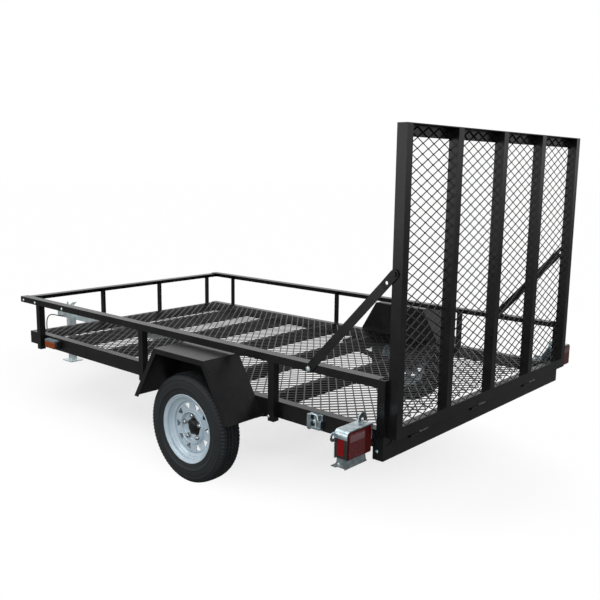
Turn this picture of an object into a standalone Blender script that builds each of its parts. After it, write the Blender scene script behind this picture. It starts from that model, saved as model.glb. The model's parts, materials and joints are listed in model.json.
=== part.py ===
"""Utility trailer with an expanded-metal floor, low angle-iron sides and a ramp gate.

Metres, +X forward to the coupler, +Y to the left, +Z up. Stations along X are given from a datum
at the rear end of the top rails; the whole trailer hangs on one empty that puts the middle of its
outline, on the ground, at the origin. Paired pieces are drawn on the left and mirrored.
"""

import math

import bmesh
import bpy
from mathutils import Matrix, Vector

# Clearances and general values
TOUCH = 0.0003
WELD = 0.0015
OVERRUN = 0.02
ROUND_STEPS = 12
SMALL_STEPS = 8
BOLT_STEPS = 6
WHEEL_STEPS = 28
SHARP_DEGREES = 35

# Railing, whose outside is the outside of the load space
RAIL_HALF_WIDTH = 0.820
RAIL_RISE = 0.220
RAIL_DEPTH = 0.035
RAIL_LEG = 0.050
RAIL_WALL = 0.0035
RAIL_FRONT = 2.741
STAKE_LEG = 0.036
STAKE_WALL = 0.0035
STAKE_DROP = 0.012
SIDE_STAKE_STATIONS = (0.560, 1.505, 2.530)
FRONT_STAKE_PLACE_SHARES = (0.8537, 0.2927, -0.2927, -0.8537)
POST_LEG = 0.040
POST_FOOT_RUN = 0.050
POST_FOOT_RISE = 0.055

# Bed frame
BED_TOP = 0.452
BED_DEPTH = 0.075
BED_LEG = 0.045
BED_WALL = 0.0040
REAR_FACE = -0.036
REAR_DEPTH = 0.109
REAR_LEG = 0.040
CROSS_FIRST = 0.650
CROSS_PITCH = 0.425
CROSS_COUNT = 5
CROSS_DEPTH = 0.070
CROSS_LEG = 0.035
CROSS_WALL = 0.0035
SLOT_INSET = 0.033
SLOT_LENGTH = 0.050
SLOT_HEIGHT = 0.022
SLOT_BELOW_TOP = 0.037
SLOT_DEPTH = 0.0025
RAIL_TOP = BED_TOP + RAIL_RISE
BED_HALF_WIDTH = RAIL_HALF_WIDTH - RAIL_WALL - STAKE_LEG + STAKE_WALL
BED_FRONT = RAIL_FRONT - RAIL_WALL - STAKE_LEG + STAKE_WALL

# Expanded metal, drawn coarser than the real one
MESH_WAY_LONG = 0.320
MESH_WAY_SHORT = 0.160
MESH_STRAND = 0.012
MESH_THICK = 0.004
MESH_EDGE = 0.008

# Wheels: 4.80-12 tyre on a 12 inch rim, five studs on 114.3 mm
WHEEL_STATION = 0.9925
WHEEL_CLEAR = 0.024
TYRE_RADIUS = 0.2640
TYRE_SECTION = 0.122
TYRE_TREAD = 0.096
TYRE_STEP = 0.004
RIM_RADIUS = 0.1665
RIM_SEAT_RADIUS = 0.1524
RIM_WELL_RADIUS = 0.130
RIM_WIDTH = 0.112
RIM_GAUGE = 0.0035
RIM_WELL_SHARES = (0.62, 0.38, -0.30, -0.55)
DISC_FACE = 0.0105
DISC_CENTRE_RADIUS = 0.040
CREST_RADIUS = 0.0776
CREST_TOP = 0.004
CREST_SLOPE = 0.006
CREST_RISE = 0.0145
HOLE_CIRCLE_RADIUS = 0.1030
HOLE_COUNT = 10
HOLE_SIZE = 0.0175
HOLE_CORNER_SHARES = ((-1.0, 0.0), (0.7, 0.9), (0.7, -0.9))
STUD_CIRCLE_RADIUS = 0.05715
STUD_COUNT = 5
STUD_TURN_DEGREES = 16
STUD_RADIUS = 0.006
STUD_CLEAR = 0.0006
CUP_FOOT_RADIUS = 0.0130
CUP_TOP_RADIUS = 0.0115
CUP_RISE = 0.003
NUT_RADIUS = 0.0105
NUT_LENGTH = 0.014
HUB_RADIUS = 0.072
HUB_FLANGE = 0.010
HUB_CAP_RADIUS = 0.031
HUB_CAP_LENGTH = 0.016
HUB_CAP_SHOULDER_SHARE = 0.6
HUB_BACK_LENGTH = 0.060
SPINDLE_RADIUS = 0.0125
SPINDLE_END_CLEAR = 0.002
SPINDLE_CLEAR = 0.0007
WHEEL_PLANE = RAIL_HALF_WIDTH + WHEEL_CLEAR + TYRE_SECTION / 2

# Fenders
FENDER_OVERHANG = 0.036
FENDER_CLEAR = 0.104
FENDER_REAR_RUN = 0.1745
FENDER_FRONT_RUN = 0.1795
FENDER_SLOPE_RUN = 0.160
FENDER_FOOT_RISE = 0.101
FENDER_LIP = 0.025
FENDER_WALL = 0.003
FENDER_OUTER = WHEEL_PLANE + TYRE_SECTION / 2 + FENDER_OVERHANG
FENDER_TOP = 2 * TYRE_RADIUS + FENDER_CLEAR
FENDER_FOOT = TYRE_RADIUS + FENDER_FOOT_RISE

# Axle and springs
AXLE_BEAM = 0.040
AXLE_END_GAP = 0.014
SPRING_INSET = 0.084
SPRING_WIDTH = 0.045
SPRING_HALF_SPAN = 0.330
SPRING_LEAF = 0.007
SPRING_LEAF_SHARES = (1.0, 0.70, 0.42)
SPRING_EYE_RADIUS = 0.014
SPRING_EYE_BELOW_RAIL = 0.032
SPRING_STEPS = 6
HANGER_WALL = 0.006
HANGER_LENGTH = 0.060
UBOLT_RADIUS = 0.005
SPRING_PLATE = 0.006
SPRING_PLACE = BED_HALF_WIDTH - SPRING_INSET

# Tongue, coupler and stand
TONGUE_REAR_CROSS = 3
TONGUE_REAR_OVERHANG = 0.025
TONGUE_REACH = 0.815
TONGUE_WIDTH = 0.060
TONGUE_DEPTH = 0.060
TONGUE_WALL = 0.004
COUPLER_REACH = 0.145
COUPLER_OVERLAP = 0.070
COUPLER_HALF_WIDTH = 0.038
COUPLER_NOSE_RADIUS = 0.042
COUPLER_WALL = 0.004
LATCH_LENGTH = 0.130
LATCH_WIDTH = 0.030
LATCH_RISE = 0.060
LATCH_GAUGE = 0.004
LATCH_KNEE_SHARES = (0.4, 0.3)
LATCH_GUARD_RISE = 0.056
LATCH_GUARD_LENGTH = 0.022
STAND_BACK = 0.100
STAND_SLEEVE = 0.050
STAND_SLEEVE_WALL = 0.003
STAND_SLEEVE_LENGTH = 0.170
STAND_SLEEVE_RISE = 0.020
STAND_CLEAR = 0.0005
STAND_LEG_BELOW_TOP = 0.007
STAND_FOOT_LENGTH = 0.120
STAND_FOOT_WIDTH = 0.100
STAND_FOOT_THICK = 0.006
TONGUE_TOP = BED_TOP - BED_DEPTH - TOUCH
TONGUE_REAR = CROSS_FIRST + TONGUE_REAR_CROSS * CROSS_PITCH - TONGUE_REAR_OVERHANG
TONGUE_FRONT = BED_FRONT + TONGUE_REACH
COUPLER_FRONT = TONGUE_FRONT + COUPLER_REACH
COUPLER_REAR = TONGUE_FRONT - COUPLER_OVERLAP
STAND_STATION = TONGUE_FRONT - STAND_BACK

# Rear lamps and their pressed brackets
LAMP_REAR = -0.022
LAMP_DEPTH = 0.062
LAMP_GAP = 0.056
LAMP_WIDTH = 0.150
LAMP_HEIGHT = 0.110
LAMP_ABOVE_BED = 0.057
LAMP_LENS_DEPTH = 0.016
LAMP_LENS_LIP = 0.002
BRACKET_GAUGE = 0.004
HOOD_BACK = 0.004
HOOD_ROUND = 0.022
HOOD_OUTER_FLAP = 0.028
HOOD_INNER_FLAP = 0.060
FLANGE_RUN = 0.035
FLANGE_HEIGHT = 0.074
NECK_RUN = 0.028
NECK_INSET = 0.050
FOOT_DROP = 0.076
FOOT_REAR = 0.046
FOOT_RUN = 0.071
FOOT_INSET = 0.070
FOOT_GAP = 0.029
FOOT_SECTION_SHARES = ((0.0, 0.0), (0.55, 0.15), (0.85, 0.50), (0.96, 1.0), (1.0, 1.0))
FOOT_HOLLOW_SHARES = ((0.30, 0.0), (0.60, 0.15), (0.88, 0.50), (1.1, 0.60))
EAR_STATION = 0.029
EAR_SHIFT = 0.004
EAR_HALF_WIDTH = 0.028
EAR_HEIGHT = 0.034
EAR_HOLE_RADIUS = 0.009
SIDE_EAR_REACH = 0.030
SIDE_EAR_HALF_HEIGHT = 0.019
SIDE_EAR_BELOW_TOP = 0.025
SIDE_EAR_HOLE_RADIUS = 0.007
LAMP_INNER = RAIL_HALF_WIDTH + LAMP_GAP
EAR_PLACE = LAMP_INNER - EAR_SHIFT
LAMP_OUTER = LAMP_INNER + LAMP_WIDTH
LAMP_HIGH = BED_TOP + LAMP_ABOVE_BED
LAMP_LOW = LAMP_HIGH - LAMP_HEIGHT

# Side markers and latch plate
MARKER_BACK = 0.225
MARKER_LENGTH = 0.125
MARKER_HEIGHT = 0.052
MARKER_DEPTH = 0.036
MARKER_TAPER = 0.006
MARKER_BELOW_TOP = 0.010
LATCH_PLATE_REAR = 0.300
LATCH_PLATE_LENGTH = 0.075
LATCH_PLATE_DEPTH = 0.022
LATCH_PLATE_WALL = 0.005

# Ramp gate
GATE_GAP = 0.0015
GATE_WEB = 0.0455
GATE_INSET = 0.021
GATE_DROP = 0.016
GATE_HEIGHT = 1.215
GATE_FLANGE = 0.040
GATE_EDGE_FLANGE = 0.048
GATE_WALL = 0.0035
GATE_BAYS = 4
GATE_UPRIGHT_SHIFT = 0.019
HINGE_DROP = 0.0145
HINGE_REACH = 0.024
HINGE_PLACE_SHARES = (0.8073, 0.1890, -0.4668)
HINGE_PIN_RADIUS = 0.0060
HINGE_PIN_TAIL = 0.085
HINGE_BORE_CLEAR = 0.0006
HINGE_SLEEVE_RADIUS = 0.0110
HINGE_SLEEVE_LENGTH = 0.050
HINGE_LUG = 0.005
HINGE_SIDE_CLEAR = 0.0010
GATE_FRONT = REAR_FACE - GATE_GAP
GATE_REAR = GATE_FRONT - GATE_WEB
GATE_HALF_WIDTH = RAIL_HALF_WIDTH - GATE_INSET
GATE_BOTTOM = BED_TOP - GATE_DROP
HINGE_STATION = REAR_FACE - HINGE_REACH
HINGE_HEIGHT = GATE_BOTTOM - HINGE_DROP

# Gate stays, flat straps with a crease at each end
STAY_PIVOT_STATION = 0.350
STAY_PIVOT_BELOW_RAIL = 0.020
STAY_PIN_STATION = -0.050
STAY_PIN_RISE = 0.654
STAY_WIDTH = 0.038
STAY_GAUGE = 0.006
STAY_SIDE_CLEAR = 0.0006
STAY_PIN_GAP = 0.0008
STAY_BOSS_RADIUS = 0.010
STAY_LOW_TAB = 0.050
STAY_HIGH_TAB = 0.075
STAY_BOLT_RADIUS = 0.011
STAY_BOLT_HEAD = 0.006
STAY_SPARE_HOLE = 0.050
STAY_HOLE_RADIUS = 0.008

# Wiring lead, a free cord whose points are chosen by hand
LEAD_DIAMETER = 0.008
LEAD_ROUTE = (
    (3.5600, 0.0398, 0.3260),
    (3.5612, 0.0575, 0.3280),
    (3.5653, 0.0759, 0.3323),
    (3.5729, 0.0927, 0.3379),
    (3.5845, 0.1074, 0.3424),
    (3.5999, 0.1190, 0.3421),
    (3.6157, 0.1264, 0.3341),
    (3.6277, 0.1313, 0.3200),
    (3.6351, 0.1342, 0.3023),
    (3.6388, 0.1356, 0.2834),
    (3.6400, 0.1360, 0.2641),
    (3.6400, 0.1360, 0.2448),
    (3.6400, 0.1360, 0.2254),
    (3.6400, 0.1360, 0.2061),
    (3.6400, 0.1360, 0.1867),
    (3.6400, 0.1360, 0.1674),
    (3.6400, 0.1360, 0.1480),
)
LEAD_PLUG_LENGTH = 0.045
LEAD_PLUG_WIDTH = 0.022
LEAD_PLUG_DEPTH = 0.010

ORIGIN_STATION = (GATE_REAR + COUPLER_FRONT) / 2

# Finishes: name, colour, roughness, metallic
PAINT = ("black powder coat", (0.012, 0.012, 0.013, 1.0), 0.35, 0.0)
ZINC = ("zinc plate", (0.55, 0.60, 0.62, 1.0), 0.38, 0.9)
RIM_PAINT = ("pale blue white rim paint", (0.60, 0.68, 0.74, 1.0), 0.30, 0.0)
TYRE_RUBBER = ("tyre rubber", (0.020, 0.022, 0.024, 1.0), 0.75, 0.0)
LENS_RED = ("red lens", (0.35, 0.01, 0.012, 1.0), 0.12, 0.0)
LENS_AMBER = ("amber lens", (0.62, 0.18, 0.02, 1.0), 0.12, 0.0)
BLACK_PVC = ("black lead jacket", (0.015, 0.015, 0.016, 1.0), 0.5, 0.0)


def material(finish):
    """A Principled material from a row of finishes."""
    name, colour, roughness, metallic = finish
    made = bpy.data.materials.new(name)
    made.use_nodes = True
    shader = made.node_tree.nodes["Principled BSDF"]
    shader.inputs["Base Color"].default_value = colour
    shader.inputs["Roughness"].default_value = roughness
    shader.inputs["Metallic"].default_value = metallic
    made.diffuse_color = colour
    return made


def loft(rings):
    """A closed body through rings of as many points each, its two ends flat."""
    count = len(rings[0])
    points = [Vector(point) for ring in rings for point in ring]
    last = (len(rings) - 1) * count
    faces = [tuple(range(count)), tuple(reversed(range(last, last + count)))]
    for start in range(0, last, count):
        for k in range(count):
            after = (k + 1) % count
            faces.append((start + k, start + k + count, start + after + count, start + after))
    return points, faces


def prism(outline, start, run):
    """A closed prism: the outline's 3-D points at start, carried along the run vector."""
    base = [Vector(start) + Vector(point) for point in outline]
    return loft([base, [point + Vector(run) for point in base]])


def across(outline, station, run):
    """A prism along X from an outline of (y, z) points."""
    return prism([(0, y, z) for y, z in outline], (station, 0, 0), (run, 0, 0))


def sideways(outline, place, run):
    """A prism along Y from an outline of (x, z) points."""
    return prism([(x, 0, z) for x, z in outline], (0, place, 0), (0, run, 0))


def box(low, high):
    """A rectangular block between two corners."""
    (x0, y0, z0), (x1, y1, z1) = low, high
    outline = ((x0, y0, z0), (x1, y0, z0), (x1, y1, z0), (x0, y1, z0))
    return prism(outline, (0, 0, 0), (0, 0, z1 - z0))


def angle_bar(corner, run, leg_a, leg_b, wall):
    """An L section: its outer corner line starts at corner, its legs are two vectors."""
    a, b = Vector(leg_a), Vector(leg_b)
    ta, tb = a.normalized() * wall, b.normalized() * wall
    outline = (Vector((0, 0, 0)), a, a + tb, ta + tb, ta + b, b)
    return prism(outline, corner, run)


def arc(centre, radius, start, end, steps):
    """Points on a flat arc from the start angle to the end angle, in degrees, ends included."""
    points = []
    for k in range(steps + 1):
        a = math.radians(start + (end - start) * k / steps)
        points.append((centre[0] + radius * math.cos(a), centre[1] + radius * math.sin(a)))
    return points


def ring(centre, axis, radius, steps):
    """Points of a circle round an axis through centre."""
    turn = Vector(axis).to_track_quat("Z", "Y").to_matrix()
    points = []
    for k in range(steps):
        a = math.tau * (k + 0.5) / steps
        points.append(Vector(centre) + turn @ Vector((radius * math.cos(a), radius * math.sin(a), 0)))
    return points


def cone(start, end, start_radius, end_radius, steps):
    """A round bar between two points whose radius changes evenly."""
    axis = Vector(end) - Vector(start)
    return loft([ring(start, axis, start_radius, steps), ring(end, axis, end_radius, steps)])


def rod(start, end, radius, steps=SMALL_STEPS):
    """A round bar between two points."""
    return cone(start, end, radius, radius, steps)


def turned(profile, centre, steps):
    """A closed (radius, offset) profile turned about the Y axis through centre."""
    points = []
    for k in range(steps):
        a = math.tau * k / steps
        for radius, offset in profile:
            points.append(Vector(centre) + Vector((radius * math.cos(a), offset, radius * math.sin(a))))
    count = len(profile)
    faces = []
    for k in range(steps):
        here, there = k * count, (k + 1) % steps * count
        for j in range(count):
            after = (j + 1) % count
            faces.append((here + j, here + after, there + after, there + j))
    return points, faces


def turned_cap(profile, centre, steps):
    """A turned body whose profile starts and ends on the Y axis through centre."""
    rings = profile[1:-1]
    points = [Vector(centre) + Vector((0, end[1], 0)) for end in (profile[0], profile[-1])]
    for k in range(steps):
        a = math.tau * k / steps
        for radius, offset in rings:
            points.append(Vector(centre) + Vector((radius * math.cos(a), offset, radius * math.sin(a))))
    count = len(rings)
    faces = []
    for k in range(steps):
        here, there = 2 + k * count, 2 + (k + 1) % steps * count
        faces.append((0, here, there))
        faces.append((1, there + count - 1, here + count - 1))
        for j in range(count - 1):
            faces.append((here + j, here + j + 1, there + j + 1, there + j))
    return points, faces


def on_side(shape, side):
    """The shape on the left (side 1) or mirrored to the right (side -1)."""
    points, faces = shape
    return [Vector((p.x, side * p.y, p.z)) for p in points], faces


def mesh_from(name, shape, pivot):
    """A mesh with outward faces, its points taken from the pivot."""
    points, faces = shape
    bm = bmesh.new()
    made = [bm.verts.new(Vector(p) - Vector(pivot)) for p in points]
    for face in faces:
        bm.faces.new([made[k] for k in face])
    bmesh.ops.recalc_face_normals(bm, faces=bm.faces)
    mesh = bpy.data.meshes.new(name)
    bm.to_mesh(mesh)
    bm.free()
    return mesh


def piece(name, shapes, finish, cuts=(), pivot=(0, 0, 0), smooth=False):
    """One node: the shapes united, less the cuts, with its origin at the pivot."""
    part = bpy.data.objects.new(name, mesh_from(name, shapes[0], pivot))
    bpy.context.scene.collection.objects.link(part)
    helpers = []
    steps = [(shape, "UNION") for shape in shapes[1:]] + [(cut, "DIFFERENCE") for cut in cuts]
    for number, (shape, operation) in enumerate(steps):
        helper = bpy.data.objects.new(f"{name}_tool_{number}", mesh_from(name, shape, pivot))
        bpy.context.scene.collection.objects.link(helper)
        helper.hide_render = True
        helper.display_type = "WIRE"
        helpers.append(helper)
        step = part.modifiers.new(operation, "BOOLEAN")
        step.operation = operation
        step.solver = "EXACT"
        step.object = helper
    if helpers:
        graph = bpy.context.evaluated_depsgraph_get()
        finished = bpy.data.meshes.new_from_object(part.evaluated_get(graph))
        part.modifiers.clear()
        part.data = finished
        for helper in helpers:
            bpy.data.objects.remove(helper)
    part.location = pivot
    part.parent = bpy.data.objects["trailer"]
    part.data.materials.clear()
    part.data.materials.append(material(finish))
    if smooth:
        part.data.shade_smooth()
        part.data.set_sharp_from_angle(angle=math.radians(SHARP_DEGREES))
    return part


def expanded_metal(corner, directions, size):
    """A sheet with a frame strip and diamond openings in staggered rows, as one closed surface.

    The directions are the sheet's width, height and thickness. Openings whose diamond would cross
    the frame strip are left out, so that the strip is whole.
    """
    wide, high = size
    clear_w = wide - 2 * MESH_EDGE
    clear_h = high - 2 * MESH_EDGE
    columns = max(1, round(2 * clear_w / MESH_WAY_LONG))
    rows = max(1, round(2 * clear_h / MESH_WAY_SHORT))
    step_w = clear_w / columns
    step_h = clear_h / rows
    half_w = step_w - MESH_STRAND
    half_h = step_h - MESH_STRAND / 2
    bm = bmesh.new()
    outline = [bm.verts.new((u, v, 0)) for u, v in ((0, 0), (wide, 0), (wide, high), (0, high))]
    rim = [bm.edges.new((outline[k], outline[(k + 1) % 4])) for k in range(4)]
    for row in range(1, rows):
        for column in range(1, columns):
            if (row + column) % 2:
                continue
            u = MESH_EDGE + column * step_w
            v = MESH_EDGE + row * step_h
            corners = ((u - half_w, v, 0), (u, v - half_h, 0), (u + half_w, v, 0), (u, v + half_h, 0))
            diamond = [bm.verts.new(place) for place in corners]
            rim += [bm.edges.new((diamond[k], diamond[(k + 1) % 4])) for k in range(4)]
    bmesh.ops.triangle_fill(bm, edges=rim, use_beauty=True)
    lifted = bmesh.ops.extrude_face_region(bm, geom=list(bm.faces))
    bmesh.ops.translate(
        bm,
        vec=(0, 0, MESH_THICK),
        verts=[item for item in lifted["geom"] if isinstance(item, bmesh.types.BMVert)],
    )
    bm.verts.index_update()
    frame = Matrix([Vector(direction) for direction in directions]).transposed()
    points = [Vector(corner) + frame @ vert.co for vert in bm.verts]
    polygons = [tuple(vert.index for vert in face.verts) for face in bm.faces]
    bm.free()
    return points, polygons


def bed_frame():
    """Side rails, front and rear members and the floor's cross members, all of angle."""
    for side, name in ((1, "side_rail_left"), (-1, "side_rail_right")):
        start = REAR_FACE + REAR_LEG + TOUCH
        bar = angle_bar(
            (start, BED_HALF_WIDTH, BED_TOP),
            (BED_FRONT - start, 0, 0),
            (0, -BED_LEG, 0),
            (0, 0, -BED_DEPTH),
            BED_WALL,
        )
        piece(name, [on_side(bar, side)], PAINT)
    inner = BED_HALF_WIDTH - BED_WALL - TOUCH
    under = BED_TOP - BED_WALL - TOUCH
    front = angle_bar(
        (BED_FRONT, -inner, under),
        (0, 2 * inner, 0),
        (-BED_LEG, 0, 0),
        (0, 0, -(BED_DEPTH - BED_WALL)),
        BED_WALL,
    )
    piece("front_member", [front], PAINT)
    for number in range(CROSS_COUNT):
        station = CROSS_FIRST + number * CROSS_PITCH
        bar = angle_bar(
            (station, -inner, under),
            (0, 2 * inner, 0),
            (CROSS_LEG, 0, 0),
            (0, 0, -CROSS_DEPTH),
            CROSS_WALL,
        )
        piece(f"cross_member_{number + 1}", [bar], PAINT)


def hinge_pin(place):
    """One chassis hinge: two lugs, the pin through them, and its tail bent in to the face."""
    shapes = []
    half = HINGE_SLEEVE_LENGTH / 2 + HINGE_SIDE_CLEAR
    for end in (-1, 1):
        low, high = sorted((place + end * half, place + end * (half + HINGE_LUG)))
        shapes.append(
            rod((HINGE_STATION, low, HINGE_HEIGHT), (HINGE_STATION, high, HINGE_HEIGHT), HINGE_SLEEVE_RADIUS)
        )
        shapes.append(
            box(
                (HINGE_STATION, low, HINGE_HEIGHT - HINGE_SLEEVE_RADIUS / 2),
                (REAR_FACE + WELD, high, HINGE_HEIGHT + HINGE_SLEEVE_RADIUS / 2),
            )
        )
    reach = half + HINGE_LUG - WELD
    tail = place - reach - HINGE_PIN_TAIL
    head = (HINGE_STATION, place + reach, HINGE_HEIGHT)
    shapes.append(rod((HINGE_STATION, tail, HINGE_HEIGHT), head, HINGE_PIN_RADIUS))
    bend = tail + HINGE_PIN_RADIUS
    shapes.append(
        rod(
            (HINGE_STATION - HINGE_PIN_RADIUS / 2, bend, HINGE_HEIGHT),
            (REAR_FACE + WELD, bend, HINGE_HEIGHT),
            HINGE_PIN_RADIUS,
        )
    )
    return shapes


def rear_member():
    """The deep rear angle between the rear posts, with the hinge pins and an oval pocket each side."""
    inner = RAIL_HALF_WIDTH - RAIL_WALL - TOUCH
    shapes = [
        angle_bar(
            (REAR_FACE, -inner, BED_TOP),
            (0, 2 * inner, 0),
            (REAR_LEG, 0, 0),
            (0, 0, -REAR_DEPTH),
            BED_WALL,
        )
    ]
    for share in HINGE_PLACE_SHARES:
        shapes += hinge_pin(share * GATE_HALF_WIDTH)
    middle = RAIL_HALF_WIDTH - SLOT_INSET
    height = BED_TOP - SLOT_BELOW_TOP
    half = (SLOT_LENGTH - SLOT_HEIGHT) / 2
    outline = arc((middle + half, height), SLOT_HEIGHT / 2, -90, 90, BOLT_STEPS)
    outline += arc((middle - half, height), SLOT_HEIGHT / 2, 90, 270, BOLT_STEPS)
    pocket = across(outline, REAR_FACE - OVERRUN, OVERRUN + SLOT_DEPTH)
    piece("rear_member", shapes, PAINT, [on_side(pocket, side) for side in (1, -1)])


def floor_mesh():
    """The floor's expanded metal, lying on the members between the side rails' top legs."""
    half = BED_HALF_WIDTH - BED_LEG - TOUCH
    start = REAR_FACE + REAR_LEG + TOUCH
    shape = expanded_metal(
        (start, half, BED_TOP - BED_WALL),
        ((0, -1, 0), (1, 0, 0), (0, 0, 1)),
        (2 * half, BED_FRONT - start),
    )
    piece("floor_mesh", [shape], PAINT)


def side_stake(station):
    """A side stake: outer leg along the rail's inside, rear leg reaching in to the bed rail."""
    face = RAIL_HALF_WIDTH - RAIL_WALL + WELD
    low = BED_TOP - BED_DEPTH - STAKE_DROP
    return angle_bar(
        (station, face, low),
        (0, 0, RAIL_TOP - RAIL_WALL + WELD - low),
        (STAKE_LEG, 0, 0),
        (0, -(face - BED_HALF_WIDTH - TOUCH), 0),
        STAKE_WALL,
    )


def rear_post():
    """A rear post: its side leg runs down past the rear member, with a wider foot."""
    low = BED_TOP - REAR_DEPTH
    inner = RAIL_HALF_WIDTH - RAIL_WALL
    side_leg = sideways(
        (
            (REAR_FACE, low),
            (REAR_FACE + POST_FOOT_RUN, low),
            (REAR_FACE + POST_FOOT_RUN, low + POST_FOOT_RISE),
            (-TOUCH, low + POST_FOOT_RISE),
            (-TOUCH, RAIL_TOP),
            (REAR_FACE, RAIL_TOP),
        ),
        inner,
        RAIL_WALL,
    )
    rear_leg = box(
        (REAR_FACE, RAIL_HALF_WIDTH - POST_LEG, BED_TOP + TOUCH),
        (REAR_FACE + RAIL_WALL, inner + WELD, RAIL_TOP),
    )
    return [side_leg, rear_leg]


def railings():
    """Left and right top rails with stakes and rear posts, and the front rail with its stakes."""
    for side, name in ((1, "left"), (-1, "right")):
        rail = angle_bar(
            (0, RAIL_HALF_WIDTH, RAIL_TOP),
            (RAIL_FRONT, 0, 0),
            (0, -RAIL_LEG, 0),
            (0, 0, -RAIL_DEPTH),
            RAIL_WALL,
        )
        shapes = [rail] + [side_stake(station) for station in SIDE_STAKE_STATIONS]
        piece(f"railing_{name}", [on_side(shape, side) for shape in shapes], PAINT)
        piece(f"rear_post_{name}", [on_side(shape, side) for shape in rear_post()], PAINT)
    inner = RAIL_HALF_WIDTH - RAIL_WALL - TOUCH
    under = RAIL_TOP - RAIL_WALL - TOUCH
    rail = angle_bar(
        (RAIL_FRONT - TOUCH, -inner, under),
        (0, 2 * inner, 0),
        (-RAIL_LEG, 0, 0),
        (0, 0, -(RAIL_DEPTH - RAIL_WALL)),
        RAIL_WALL,
    )
    shapes = [rail]
    face = RAIL_FRONT - RAIL_WALL + WELD
    low = BED_TOP - BED_DEPTH
    for share in FRONT_STAKE_PLACE_SHARES:
        shapes.append(
            angle_bar(
                (face, share * RAIL_HALF_WIDTH, low),
                (0, 0, under - RAIL_WALL + WELD - low),
                (0, -STAKE_LEG, 0),
                (-(face - BED_FRONT - TOUCH), 0, 0),
                STAKE_WALL,
            )
        )
    piece("railing_front", shapes, PAINT)


def fender_line(inset):
    """The fender's side line, moved in from its outside: rear foot, two top corners, front foot."""
    slope = Vector((FENDER_SLOPE_RUN, FENDER_TOP - FENDER_FOOT))
    foot_shift = inset * slope.length / slope.y
    corner_shift = inset * (slope.length - slope.x) / slope.y
    rear = WHEEL_STATION - FENDER_REAR_RUN
    front = WHEEL_STATION + FENDER_FRONT_RUN
    return [
        (rear - FENDER_SLOPE_RUN + foot_shift, FENDER_FOOT),
        (rear + corner_shift, FENDER_TOP - inset),
        (front - corner_shift, FENDER_TOP - inset),
        (front + FENDER_SLOPE_RUN - foot_shift, FENDER_FOOT),
    ]


def fenders():
    """Three-facet fenders with a turned-down outer lip and an inner side plate."""
    outer = fender_line(0)
    roof = outer + fender_line(FENDER_WALL)[::-1]
    lip = outer + fender_line(FENDER_LIP)[::-1]
    inner = BED_HALF_WIDTH + TOUCH
    shapes = [
        sideways(roof, inner, FENDER_OUTER - inner),
        sideways(lip, FENDER_OUTER - FENDER_WALL, FENDER_WALL),
        sideways(outer, inner, FENDER_WALL),
    ]
    for side, name in ((1, "left"), (-1, "right")):
        piece(f"fender_{name}", [on_side(shape, side) for shape in shapes], PAINT)


def tyre_profile():
    """The tyre's section as (radius, offset) points, a flat tread over round sidewalls."""
    half = TYRE_SECTION / 2
    tread = TYRE_TREAD / 2
    bead = RIM_SEAT_RADIUS + TOUCH
    foot = RIM_WIDTH / 2 - RIM_GAUGE - TYRE_STEP
    waist = (TYRE_RADIUS + RIM_RADIUS) / 2
    shoulder = TYRE_RADIUS - 3 * TYRE_STEP
    outer = (
        (TYRE_RADIUS, 0),
        (TYRE_RADIUS - TYRE_STEP, tread),
        (shoulder, (tread + half) / 2),
        (waist + 2 * TYRE_STEP, half),
        (waist - 2 * TYRE_STEP, half),
        (RIM_RADIUS + TYRE_STEP, foot + TYRE_STEP),
        (bead, foot),
    )
    inner = (
        (bead, foot - 2 * TYRE_STEP),
        (waist, half - 2 * TYRE_STEP),
        (shoulder, 0),
    )
    left = outer + inner
    right = tuple((radius, -offset) for radius, offset in reversed(left[1:-1]))
    return left + right


def rim_profile():
    """The rim barrel's section: flanges, bead seats and drop well, a constant gauge thick."""
    half = RIM_WIDTH / 2
    seat = half - 2 * RIM_GAUGE
    radii = (RIM_SEAT_RADIUS, RIM_WELL_RADIUS, RIM_WELL_RADIUS, RIM_SEAT_RADIUS)
    middle = [(RIM_SEAT_RADIUS, seat)]
    middle += [(radius, share * half) for radius, share in zip(radii, RIM_WELL_SHARES)]
    middle.append((RIM_SEAT_RADIUS, -seat))
    tyre_side = [(RIM_RADIUS, half - RIM_GAUGE)] + middle + [(RIM_RADIUS, -half + RIM_GAUGE)]
    axle_side = [(radius - RIM_GAUGE, offset) for radius, offset in middle]
    return tyre_side + [(RIM_RADIUS, -half)] + axle_side[::-1] + [(RIM_RADIUS, half)]


def stud_places(centre):
    """Where the studs cross the wheel's middle plane."""
    places = []
    for number in range(STUD_COUNT):
        a = math.radians(STUD_TURN_DEGREES) + math.tau * number / STUD_COUNT
        offset = (STUD_CIRCLE_RADIUS * math.cos(a), 0, STUD_CIRCLE_RADIUS * math.sin(a))
        places.append(Vector(centre) + Vector(offset))
    return places


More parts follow.
